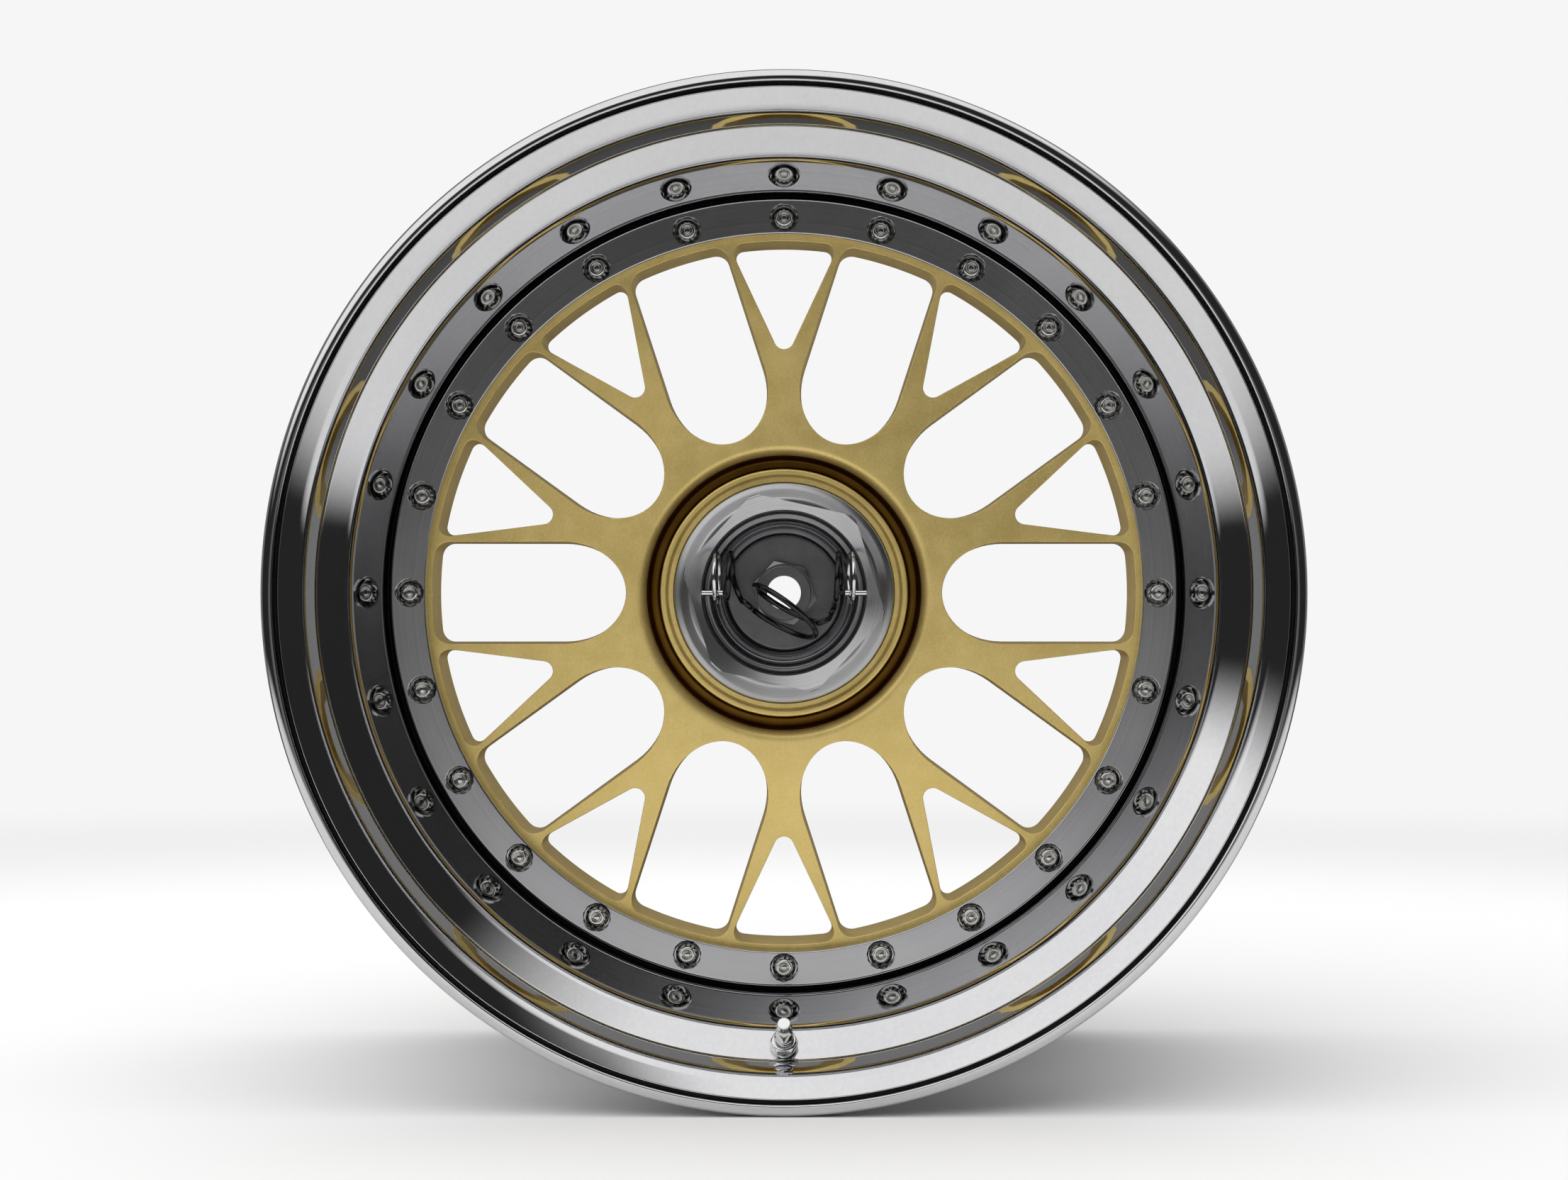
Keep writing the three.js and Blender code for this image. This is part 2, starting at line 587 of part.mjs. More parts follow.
// ---------- Safety clip ----------
// The pull ring hangs on its pin: its centre stands off by its inner radius less the pin's.
const ringOffset = CLIP_RING_R - CLIP_RING_TUBE_R - CLIP_PIN_R - GAP;
const ringCentre = {
  y: CLIP_PIN_Y - ringOffset * Math.sin(CLIP_RING_LEAN * RAD),
  z: ringOffset * Math.cos(CLIP_RING_LEAN * RAD),
};

// The pin stands along X, its inner end at the wire and its tip in the nut's wall.
const lockPin = (side) =>
  bar(CLIP_PIN_R, CLIP_PIN_INNER_X, NUT_BORE_R + CLIP_PIN_REACH - 0.2, 12)
    .rotateZ(-side * Math.PI / 2)
    .translate(0, CLIP_PIN_Y, 0);

const pullRing = (side) =>
  new THREE.TorusGeometry(CLIP_RING_R, CLIP_RING_TUBE_R, 6, 24)
    .rotateY(Math.PI / 2)
    .translate(side * CLIP_RING_X, ringCentre.y, ringCentre.z);

// The finger loop of the wire: from the pin's inner end, turned about the pull ring's centre.
function fingerLoop(side, endAngle) {
  const startAngle = 180 + CLIP_RING_LEAN;
  const steps = 9;
  const startX = CLIP_PIN_INNER_X - CLIP_WIRE_R - GAP;
  return Array.from({ length: steps + 1 }, (_, i) => {
    const share = i / steps;
    const angle = (startAngle + (endAngle - startAngle) * share) * RAD;
    const r = ringOffset + (CLIP_RING_R - ringOffset) * Math.min(1, share * 4);
    return new THREE.Vector3(
      side * (startX - 3.2 * share),
      ringCentre.y - r * Math.sin(angle),
      ringCentre.z + r * Math.cos(angle),
    );
  });
}

// One and a half open turns, lying nearly edge-on to the front and sloping down to the right.
function clipCoil() {
  const slope = CLIP_COIL.slope * RAD;
  const lean = CLIP_COIL.lean * RAD;
  const across = new THREE.Vector3(Math.cos(slope), 0, -Math.sin(slope));
  const up = new THREE.Vector3(Math.sin(slope), 0, Math.cos(slope));
  const forward = new THREE.Vector3(0, -Math.cos(lean), 0).addScaledVector(up, Math.sin(lean));
  const start = new THREE.Vector3(CLIP_COIL.startX, CLIP_COIL.y, CLIP_COIL.startZ);
  const steps = 18;
  return Array.from({ length: steps }, (_, i) => {
    const turn = 0.55 + (1.42 * i) / (steps - 1);
    return start.clone()
      .addScaledVector(across, CLIP_COIL.r * Math.cos(2 * Math.PI * turn))
      .addScaledVector(forward, CLIP_COIL.r * Math.sin(2 * Math.PI * turn))
      .addScaledVector(up, CLIP_COIL.pitch * (turn - 0.5));
  });
}

function clipSpring() {
  const path = new THREE.CatmullRomCurve3([
    ...fingerLoop(-1, -90),
    new THREE.Vector3(-CLIP_LEG.left.x, CLIP_PIN_Y + CLIP_LEG.left.y, CLIP_LEG.left.z),
    ...clipCoil(),
    new THREE.Vector3(CLIP_LEG.right.x, CLIP_PIN_Y + CLIP_LEG.right.y, CLIP_LEG.right.z),
    ...fingerLoop(1, 540).reverse(),
  ]);
  const wire = new THREE.Shape();
  wire.absarc(0, 0, CLIP_WIRE_R, 0, 2 * Math.PI);
  return new THREE.ExtrudeGeometry(wire, {
    steps: 72, curveSegments: 3, bevelEnabled: false, extrudePath: path,
  });
}

// ---------- Tyre valve ----------
// It is built along Y from the lip's step and then leaned to stand square on it.
const valveBase = {
  r: (LIP_STEP_FOOT.r + LIP_STEP_TOP.r) / 2,
  y: at((LIP_STEP_FOOT.depth + LIP_STEP_TOP.depth) / 2),
};
const valveLean = Math.atan2(stepNormal.x, stepNormal.y);

function valveTool(geometry) {
  return geometry
    .rotateX(valveLean)
    .translate(0, valveBase.y, valveBase.r)
    .rotateY(VALVE_ANGLE * RAD);
}

function addValve() {
  const carrier = new THREE.Group();
  carrier.rotation.y = VALVE_ANGLE * RAD;
  const leaned = new THREE.Group();
  leaned.position.set(0, valveBase.y, valveBase.r);
  leaned.rotation.x = valveLean;
  carrier.add(leaned);
  wheel.add(carrier);

  const washerTop = VALVE_WASHER.thick + GAP;
  const nutTop = washerTop + GAP + VALVE_NUT.height;
  const grommetBottom = -RIM_WALL - GAP - VALVE_GROMMET.thick;
  const footBottom = grommetBottom - GAP - VALVE_FOOT.thick;
  const clearR = VALVE_STEM_R + GAP;
  const threadBottom = VALVE_CAP.bottom;
  const capWall = VALVE_CAP.r - VALVE_STEM_R;

  piece("valve_stem", ring([
    [VALVE_BORE_R, footBottom],
    [VALVE_FOOT.r, footBottom],
    [VALVE_FOOT.r, grommetBottom - GAP],
    [VALVE_STEM_R, grommetBottom - GAP],
    [VALVE_STEM_R, threadBottom - 1],
    [VALVE_NECK_R, threadBottom - 1],
    [VALVE_NECK_R, VALVE_STEM_TOP],
    [VALVE_BORE_R, VALVE_STEM_TOP],
  ], 16), FINISH.chrome, leaned);
  piece("valve_grommet", tube(clearR, VALVE_GROMMET.r,
    grommetBottom, -RIM_WALL - GAP, 16), FINISH.rubber, leaned);
  piece("valve_washer", tube(clearR, VALVE_WASHER.r, GAP, washerTop, 16), FINISH.chrome, leaned);
  piece("valve_nut", cut(hexBar(VALVE_NUT.flat, washerTop + GAP, nutTop),
    bar(clearR, 0, nutTop + 1, 16)), FINISH.chrome, leaned);
  piece("valve_core", ring([
    [VALVE_CORE_PIN_R + GAP, VALVE_STEM_TOP - 9],
    [VALVE_BORE_R - GAP, VALVE_STEM_TOP - 9],
    [VALVE_BORE_R - GAP, VALVE_STEM_TOP - 1.5],
    [VALVE_CORE_PIN_R + GAP, VALVE_STEM_TOP - 1.5],
  ], 12), FINISH.steel, leaned);
  piece("valve_core_pin", turned([
    [0, VALVE_STEM_TOP - 10.5],
    [VALVE_CORE_PIN_R, VALVE_STEM_TOP - 10.5],
    [VALVE_CORE_PIN_R, VALVE_STEM_TOP - 0.3],
    [0, VALVE_STEM_TOP - 0.3],
  ], 8), FINISH.chrome, leaned);
  piece("valve_cap_seal", turned([
    [0, VALVE_STEM_TOP + GAP],
    [VALVE_NECK_R - GAP, VALVE_STEM_TOP + GAP],
    [VALVE_NECK_R - GAP, VALVE_STEM_TOP + GAP + 1],
    [0, VALVE_STEM_TOP + GAP + 1],
  ], 12), FINISH.rubber, leaned);
  piece("valve_cap", turned([
    [0, VALVE_STEM_TOP + 2 * GAP + 1],
    [VALVE_NECK_R + GAP, VALVE_STEM_TOP + 2 * GAP + 1],
    [VALVE_NECK_R + GAP, threadBottom],
    [VALVE_CAP.r, threadBottom],
    [VALVE_CAP.r, VALVE_CAP.top - 3],
    [VALVE_CAP.tip, VALVE_CAP.top - 2 - capWall],
    [VALVE_CAP.tip, VALVE_CAP.top],
    [0, VALVE_CAP.top],
  ], 12), FINISH.chrome, leaned);
}

// ---------- Assembly ----------
piece("outer_lip", outerLip(), FINISH.polished);
piece("inner_barrel", innerBarrel(), FINISH.polished);
piece("rim_seal", rimSeal(), FINISH.sealant);
piece("centre_disc", centreDisc(), FINISH.gold);
addRimBolts();
piece("taper_seat", taperSeat(), FINISH.steel);
addDriveBushes();
piece("spindle", spindle(), FINISH.darkSteel);
piece("spindle_plug", spindlePlug(), FINISH.darkSteel);
piece("plug_nut", plugNut(), FINISH.darkSteel);
piece("thrust_cone", thrustCone(), FINISH.steel);
piece("wheel_nut", wheelNut(), FINISH.steel);
piece("guard_ring", guardRing(), FINISH.rubber);
piece("clip_spring", clipSpring(), FINISH.blackWire);
for (const [name, side] of [["left", -1], ["right", 1]]) {
  piece("lock_pin_" + name, lockPin(side), FINISH.chrome);
  piece("pull_ring_" + name, pullRing(side), FINISH.chrome);
}
addValve();

export default wheel;
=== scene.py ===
"""Looks of a three-piece forged racing wheel with a centre-lock nut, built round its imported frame.

Sizes are in millimetres until a mesh is finished. The axle lies along Y and the front faces -Y.
"""

import logging
import math
from dataclasses import dataclass, field
from enum import Enum
from typing import Any, Callable, Iterable, Sequence

import bmesh
import bpy
from mathutils import Matrix, Vector


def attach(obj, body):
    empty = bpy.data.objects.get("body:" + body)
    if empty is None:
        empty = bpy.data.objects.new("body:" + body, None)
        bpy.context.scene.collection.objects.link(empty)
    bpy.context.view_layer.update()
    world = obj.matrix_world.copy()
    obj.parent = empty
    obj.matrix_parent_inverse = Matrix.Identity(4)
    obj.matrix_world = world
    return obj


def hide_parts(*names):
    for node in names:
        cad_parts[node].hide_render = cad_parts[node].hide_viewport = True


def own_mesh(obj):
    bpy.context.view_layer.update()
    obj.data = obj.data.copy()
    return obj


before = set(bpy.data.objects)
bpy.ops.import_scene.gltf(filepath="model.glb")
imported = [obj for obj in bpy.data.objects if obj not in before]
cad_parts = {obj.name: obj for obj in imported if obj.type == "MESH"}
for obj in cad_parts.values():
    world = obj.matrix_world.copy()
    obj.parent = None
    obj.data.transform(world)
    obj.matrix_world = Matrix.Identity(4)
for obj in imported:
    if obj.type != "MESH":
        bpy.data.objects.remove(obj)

log = logging.getLogger("wheel")

MM = 0.001
FRONT_Y = -153.0
AXLE = (0.0, 1.0, 0.0)
SMOOTH_BELOW = math.radians(32)
SPOKE_PAIRS = 10
BOLT_COUNT = 24
BOLT_CIRCLE = 189.0
BOLT_HOLE = 3.3
DRIVE_COUNT = 5
DRIVE_CIRCLE = 64.0
DRIVE_START = 36
GAP = 0.3


class Body(Enum):
    """Bodies of the frame that pieces ride on."""

    WHEEL = "wheel"
    CONE = "cone"
    NUT = "nut"
    PIN_LEFT = "pin_left"
    PIN_RIGHT = "pin_right"
    RING_LEFT = "ring_left"
    RING_RIGHT = "ring_right"
    CAP = "cap"


class Side(Enum):
    """The two ends of the safety clip, by the sign of X."""

    LEFT = -1
    RIGHT = 1


class Cut(Enum):
    """What one closed shape does to another."""

    AWAY = "DIFFERENCE"
    COMMON = "INTERSECT"
    JOIN = "UNION"


# ---------- Finishes ----------


def linear(hex_colour: str) -> tuple[float, float, float, float]:
    """Turns an sRGB hex colour into the linear colour that shaders take.

    Args:
        hex_colour: Six hex digits, red first.

    Returns:
        Linear red, green, blue and an alpha of one.
    """
    parts = [int(hex_colour[i : i + 2], 16) / 255 for i in (0, 2, 4)]
    red, green, blue = (
        p / 12.92 if p <= 0.04045 else ((p + 0.055) / 1.055) ** 2.4 for p in parts
    )
    return (red, green, blue, 1.0)


def per_mm(size: float) -> float:
    """Gives the texture scale at which a pattern repeats about every size millimetres."""
    return 1 / (size * MM)


def add_node(
    tree: bpy.types.NodeTree,
    kind: str,
    settings: dict[Any, Any] | None = None,
    links: dict[Any, bpy.types.NodeSocket] | None = None,
) -> bpy.types.Node:
    """Adds a node with its settings and links.

    Args:
        tree: The node tree that it joins.
        kind: Blender's name of the node.
        settings: Input values by socket name or index, or properties of the node by name.
        links: Sockets that feed its inputs, by socket name or index.

    Returns:
        The new node.
    """
    node = tree.nodes.new(kind)
    for key, value in (settings or {}).items():
        if isinstance(key, int) or key in node.inputs:
            node.inputs[key].default_value = value
        else:
            setattr(node, key, value)
    for key, socket in (links or {}).items():
        tree.links.new(socket, node.inputs[key])
    return node


class Marks(Enum):
    """The way that a surface was worked, which sets the run of its pattern."""

    GRAIN = "grain"
    FACED = "faced"
    TURNED = "turned"


@dataclass(frozen=True)
class Finish:
    """A metal, paint or rubber with the marks its making left.

    Attributes:
        name: The material's name.
        slot: Name of the slot that it belongs to; not used.
        colour: sRGB hex of the clean surface.
        shade: sRGB hex of the hollows of its pattern.
        metallic: One for bare metal.
        roughness: Mean roughness.
        spread: How far the roughness wanders each way.
        marks: Which way the pattern runs.
        mark_size: Spacing of the pattern in millimetres.
        mark_height: Height of the bump in millimetres.
        cloud_size: Size of the slow change in tone in millimetres.
    """

    name: str
    slot: str
    colour: str
    shade: str
    metallic: float
    roughness: float
    spread: float
    marks: Marks = Marks.GRAIN
    mark_size: float = 0.8
    mark_height: float = 0.01
    cloud_size: float = 30.0

    def build(self) -> bpy.types.Material:
        """Makes the material once and gives it back after that."""
        made = bpy.data.materials.get(self.name)
        if made:
            return made
        made = bpy.data.materials.new(self.name)
        made.use_nodes = True
        tree = made.node_tree
        shader = tree.nodes["Principled BSDF"]
        shader.inputs["Metallic"].default_value = self.metallic
        place = add_node(tree, "ShaderNodeTexCoord").outputs["Object"]
        marks = self._marks(tree, place)
        cloud = add_node(
            tree,
            "ShaderNodeTexNoise",
            {"Scale": per_mm(self.cloud_size), "Detail": 3.0},
            {"Vector": place},
        ).outputs["Fac"]
        both = add_node(tree, "ShaderNodeMix", {0: 0.5}, {2: marks, 3: cloud}).outputs[0]
        tone = add_node(tree, "ShaderNodeValToRGB", {}, {"Fac": both})
        tone.color_ramp.elements[0].position = 0.35
        tone.color_ramp.elements[0].color = linear(self.shade)
        tone.color_ramp.elements[1].position = 0.65
        tone.color_ramp.elements[1].color = linear(self.colour)
        tree.links.new(tone.outputs["Color"], shader.inputs["Base Color"])
        rough = add_node(
            tree,
            "ShaderNodeMapRange",
            {
                "From Min": 0.3,
                "From Max": 0.7,
                "To Min": self.roughness - self.spread,
                "To Max": self.roughness + self.spread,
            },
            {"Value": both},
        )
        tree.links.new(rough.outputs["Result"], shader.inputs["Roughness"])
        bump = add_node(
            tree,
            "ShaderNodeBump",
            {"Strength": 1.0, "Distance": self.mark_height * MM},
            {"Height": marks},
        )
        tree.links.new(bump.outputs["Normal"], shader.inputs["Normal"])
        return made

    def _marks(
        self, tree: bpy.types.NodeTree, place: bpy.types.NodeSocket
    ) -> bpy.types.NodeSocket:
        """Draws the pattern: an even grain, rings on a faced surface or hoops on a turned one.

        Args:
            tree: The material's node tree.
            place: Object coordinates.

        Returns:
            The socket of the pattern's height, from zero to one.
        """
        scale = per_mm(self.mark_size)
        if self.marks is Marks.GRAIN:
            return add_node(
                tree,
                "ShaderNodeTexNoise",
                {"Scale": scale, "Detail": 2.0, "Roughness": 0.55},
                {"Vector": place},
            ).outputs["Fac"]
        if self.marks is Marks.FACED:
            flat = add_node(
                tree,
                "ShaderNodeVectorMath",
                {"operation": "MULTIPLY", 1: (1.0, 0.0, 1.0)},
                {0: place},
            )
            along = add_node(
                tree,
                "ShaderNodeVectorMath",
                {"operation": "LENGTH"},
                {0: flat.outputs["Vector"]},
            ).outputs["Value"]
        else:
            along = add_node(
                tree, "ShaderNodeSeparateXYZ", {}, {"Vector": place}
            ).outputs["Y"]
        return add_node(
            tree,
            "ShaderNodeTexNoise",
            {"noise_dimensions": "1D", "Scale": scale, "Detail": 2.0},
            {"W": along},
        ).outputs["Fac"]


# Forged aluminium, buffed to a mirror: sharp reflections under a faint polishing haze.
POLISHED = Finish(
    "polished_forged_aluminium", "polished_aluminium", "CDCDCE", "C6C6C8", 1.0,
    0.045, 0.012, mark_size=2.5, mark_height=0.0004, cloud_size=60,
)
# The same forging faced on a lathe and buffed lightly: fine rings and softer reflections.
FACED = Finish(
    "faced_aluminium", "polished_aluminium", "C2C2C4", "B4B4B6", 1.0,
    0.25, 0.02, Marks.FACED, mark_size=0.9, mark_height=0.0006, cloud_size=40,
)
# The bottom of a parting groove, darkened to near black as painted shade for the gap.
LIP_GROOVE_PAINTED_SHADE = Finish(
    "lip_groove_painted_shade_aluminium", "polished_aluminium", "2C2B29", "201F1E", 1.0,
    0.45, 0.05, mark_size=0.6, mark_height=0.002, cloud_size=20,
)
# Spun aluminium left from the lathe: hoops along its depth, drawn 0.9 mm apart so that they show.
SPUN = Finish(
    "spun_aluminium", "polished_aluminium", "7C7C7F", "68686C", 1.0,
    0.3, 0.05, Marks.TURNED, mark_size=0.9, mark_height=0.006, cloud_size=45,
)
# Aluminium blasted with fine grit and gold anodised: satin with a soft, pebbled grain. The dyed
# oxide over the metal scatters part of the light, so it is a little short of bare metal.
GOLD = Finish(
    "blasted_gold_anodising", "gold_forging", "FFE496", "F0D482", 0.78,
    0.45, 0.05, mark_size=1.1, mark_height=0.02, cloud_size=14,
)
# The same forging in the hub's groove: smoother, with its darker brown tone painted shade for the deep
# groove.
HUB_GROOVE_PAINTED_SHADE = Finish(
    "hub_groove_gold_painted_shade", "gold_forging", "8A6628", "74521C", 1.0,
    0.38, 0.04, Marks.FACED, mark_size=0.9, mark_height=0.002, cloud_size=14,
)
# Hardened steel, face-turned and ground.
NUT_STEEL = Finish(
    "face_turned_steel", "nut_steel", "BEBEBF", "ACACAE", 1.0,
    0.31, 0.03, Marks.FACED, mark_size=0.9, mark_height=0.0008, cloud_size=25,
)
# The hexagon's flats and eased edges, painted near black as painted shade so that the outline reads dark.
HEX_EDGE_PAINTED_SHADE = Finish(
    "hex_edge_painted_shade_steel", "nut_steel", "302E2B", "252321", 1.0,
    0.34, 0.04, mark_size=0.8, mark_height=0.002, cloud_size=12,
)
# The spindle's machined end, slightly oiled.
HUB_STEEL = Finish(
    "machined_spindle_steel", "hub_steel", "8F8F91", "77777A", 1.0,
    0.2, 0.04, Marks.FACED, mark_size=0.5, mark_height=0.003, cloud_size=20,
)
# Phosphated steel: grey and even, with a soft sheen.
DARK_STEEL = Finish(
    "phosphated_steel", "dark_steel", "8E8E90", "7E7E80", 1.0,
    0.33, 0.04, mark_size=0.5, mark_height=0.004, cloud_size=12,
)
# Nickel-plated bolts, cold forged and tumbled smooth.
BOLT_STEEL = Finish(
    "nickel_plated_steel", "bolt_steel", "CFCECA", "BDBCB8", 1.0,
    0.1, 0.02, mark_size=0.6, mark_height=0.002, cloud_size=6,
)
# Bright chrome plate: near-white mirrors with a trace of haze.
CHROME = Finish(
    "chrome_plate", "chrome_trim", "DEDEDE", "D2D2D3", 1.0,
    0.06, 0.02, mark_size=1.5, mark_height=0.0008, cloud_size=9,
)
# Spring wire under baked black enamel: deep black with hard highlights.
BLACK_WIRE = Finish(
    "black_enamelled_wire", "black_wire", "060606", "040404", 0.0,
    0.16, 0.03, mark_size=0.7, mark_height=0.001, cloud_size=8,
)
# Moulded rubber: black and dull, with a fine grain from its mould.
RUBBER = Finish(
    "moulded_rubber", "black_rubber", "1C1C1D", "131314", 0.0,
    0.62, 0.08, mark_size=0.4, mark_height=0.01, cloud_size=6,
)
# Cured silicone smoothed by hand: grey, with slow waves that catch the light.
SEALANT = Finish(
    "silicone_sealant", "sealant", "6A6C6F", "585A5D", 0.0,
    0.5, 0.06, mark_size=1.6, mark_height=0.05, cloud_size=12,
)


# ---------- Making ----------


@dataclass(frozen=True)
class Corner:
    """A corner of a turned profile.

    Attributes:
        radius: Distance from the axle in millimetres.
        y: Place along the axle in millimetres.
        ease: How far the rounding runs along both sides, in millimetres.
        steps: Segments of the rounding.
    """

    radius: float
    y: float
    ease: float = 0.0
    steps: int = 4


def everything(mesh: bmesh.types.BMesh) -> list[Any]:
    """Gives all vertices, edges and faces of a mesh."""
    return mesh.verts[:] + mesh.edges[:] + mesh.faces[:]


def turn(
    corners: Sequence[Corner], facets: int = 96, closed: bool = True
) -> bmesh.types.BMesh:
    """Turns a profile round the axle.

    Args:
        corners: The profile's corners in order.
        facets: Steps round the axle.
        closed: Whether the last corner joins the first.

    Returns:
        The turned mesh, in millimetres.
    """
    mesh = bmesh.new()
    line = [mesh.verts.new((0.0, c.y, c.radius)) for c in corners]
    for start, end in zip(line, line[1:] + line[:1] if closed else line[1:]):
        mesh.edges.new((start, end))
    for vert, corner in zip(line, corners):
        if corner.ease:
            bmesh.ops.bevel(
                mesh, geom=[vert], offset=corner.ease, offset_type="OFFSET",
                segments=corner.steps, profile=0.5, affect="VERTICES", material=-1,
            )
    bmesh.ops.spin(
        mesh, geom=mesh.verts[:] + mesh.edges[:], cent=(0, 0, 0), axis=AXLE,
        angle=2 * math.pi, steps=facets, use_merge=True,
    )
    bmesh.ops.remove_doubles(mesh, verts=mesh.verts[:], dist=1e-4)
    loose = [f for f in mesh.faces if f.calc_area() < 1e-9]
    if loose:
        bmesh.ops.dissolve_degenerate(mesh, dist=1e-5, edges=mesh.edges[:])
    bmesh.ops.recalc_face_normals(mesh, faces=mesh.faces[:])
    return mesh


def rod(radius: float, low: float, high: float, facets: int = 24) -> bmesh.types.BMesh:
    """Makes a closed round bar along the axle, from low to high."""
    return turn(
        [Corner(0, low), Corner(radius, low), Corner(radius, high), Corner(0, high)], facets, False
    )


def hex_bar(flat_radius: float, low: float, high: float, turn_by: float = 0.0) -> bmesh.types.BMesh:
    """Makes a hexagonal bar along the axle.

    Args:
        flat_radius: Half its size across flats.
        low: Its front end.
        high: Its back end.
        turn_by: Degrees that a corner is turned clockwise from the top.

    Returns:
        The closed bar.
    """
    mesh = bmesh.new()
    bmesh.ops.create_cone(
        mesh, cap_ends=True, segments=6, depth=high - low,
        radius1=flat_radius / math.cos(math.pi / 6), radius2=flat_radius / math.cos(math.pi / 6),
    )
    stand = Matrix.Rotation(math.radians(90 + turn_by), 4, "Y") @ Matrix.Rotation(math.pi / 2, 4, "X")
    bmesh.ops.transform(
        mesh, matrix=Matrix.Translation((0, (low + high) / 2, 0)) @ stand, verts=mesh.verts[:]
    )
    return mesh


def carve(
    mesh: bmesh.types.BMesh, tool: bmesh.types.BMesh, cut: Cut = Cut.AWAY
) -> bmesh.types.BMesh:
    """Cuts one closed mesh with another.

    Args:
        mesh: The mesh to change, which is used up.
        tool: The cutting mesh, which is used up.
        cut: What the tool does.

    Returns:
        The result.
    """
    carriers = []
    for made in (mesh, tool):
        data = bpy.data.meshes.new("blank")
        made.to_mesh(data)
        made.free()
        carrier = bpy.data.objects.new("blank", data)
        bpy.context.scene.collection.objects.link(carrier)
        carriers.append(carrier)
    work, cutter = carriers
    step = work.modifiers.new("cut", "BOOLEAN")
    step.operation = cut.value
    step.solver = "MANIFOLD"
    step.object = cutter
    depsgraph = bpy.context.evaluated_depsgraph_get()
    result = bmesh.new()
    result.from_mesh(work.evaluated_get(depsgraph).to_mesh())
    for carrier in carriers:
        data = carrier.data
        bpy.data.objects.remove(carrier)
        bpy.data.meshes.remove(data)
    return result


def bevel_front(
    mesh: bmesh.types.BMesh, front: float, ease: float, deep: float = 0.2
) -> None:
    """Bevels the outer edge of a bar's front face.

    Args:
        mesh: The bar, along the axle.
        front: Where its front face is.
        ease: Width of the bevel.
        deep: How far back the edge may bend.
    """
    edges = [
        e for e in mesh.edges
        if len(e.link_faces) == 2 and all(v.co.y < front + deep for v in e.verts)
        and min(abs(f.normal.y) for f in e.link_faces) < 0.1
        and max(abs(f.normal.y) for f in e.link_faces) > 0.8
        and (e.verts[0].co + e.verts[1].co).dot(
            min(e.link_faces, key=lambda f: abs(f.normal.y)).normal
        ) > 0
    ]
    bmesh.ops.bevel(
        mesh, geom=edges, offset=ease, offset_type="OFFSET", segments=1,
        profile=0.5, affect="EDGES", material=-1, clamp_overlap=True,
    )


def around(mesh: bmesh.types.BMesh, count: int, start: float = 0.0) -> bmesh.types.BMesh:
    """Repeats a mesh evenly round the axle.

    Args:
        mesh: The mesh, at the top of the wheel.
        count: How many there are.
        start: Degrees clockwise from the top of the first.

    Returns:
        The same mesh with its copies.
    """
    bmesh.ops.rotate(
        mesh, cent=(0, 0, 0), matrix=Matrix.Rotation(math.radians(start), 3, "Y"), verts=mesh.verts[:]
    )
    bmesh.ops.spin(
        mesh, geom=everything(mesh), cent=(0, 0, 0), axis=AXLE,
        angle=2 * math.pi * (count - 1) / count, steps=count - 1, use_duplicate=True,
    )
    return mesh


def drill(radius: float, low: float, high: float, facets: int = 32) -> bmesh.types.BMesh:
    """Makes a round bar on the bolt circle, at the top of the wheel."""
    mesh = rod(radius, low, high, facets)
    bmesh.ops.translate(mesh, vec=(0, 0, BOLT_CIRCLE), verts=mesh.verts[:])
    return mesh


def finish_piece(
    name: str,
    mesh: bmesh.types.BMesh,
    finishes: Sequence[Finish],
    body: Body,
    nodes: Iterable[str] = (),
    part: Callable[[bmesh.types.BMFace], int] | None = None,
) -> bpy.types.Object:
    """Makes a finished piece of a mesh.

    Args:
        name: The piece's name.
        mesh: The mesh in millimetres, which is used up.
        finishes: Its finishes, the main one first.
        body: The body that it rides on.
        nodes: The frame's nodes that it stands for.
        part: Gives the index of a face's finish.

    Returns:
        The object, at the origin with its place in its mesh.
    """
    for face in mesh.faces:
        face.smooth = True
        face.material_index = part(face) if part else 0
    bmesh.ops.scale(mesh, vec=(MM, MM, MM), verts=mesh.verts[:])
    data = bpy.data.meshes.new(name)
    mesh.to_mesh(data)
    mesh.free()
    data.set_sharp_from_angle(angle=SMOOTH_BELOW)
    for look in finishes:
        data.materials.append(look.build())
    piece = bpy.data.objects.new(name, data)
    bpy.context.scene.collection.objects.link(piece)
    even = piece.modifiers.new("even_normals", "WEIGHTED_NORMAL")
    even.keep_sharp = True
    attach(piece, body.value)
    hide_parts(*nodes)
    log.info("%s: %d faces on %s", name, len(data.polygons), body.value)
    return piece


def dress(node: str, look: Finish) -> None:
    """Gives a carried-over node of the frame its finish."""
    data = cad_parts[node].data
    data.materials.clear()
    data.materials.append(look.build())
    log.info("%s dressed in %s", node, look.name)


# ---------- Rim ----------


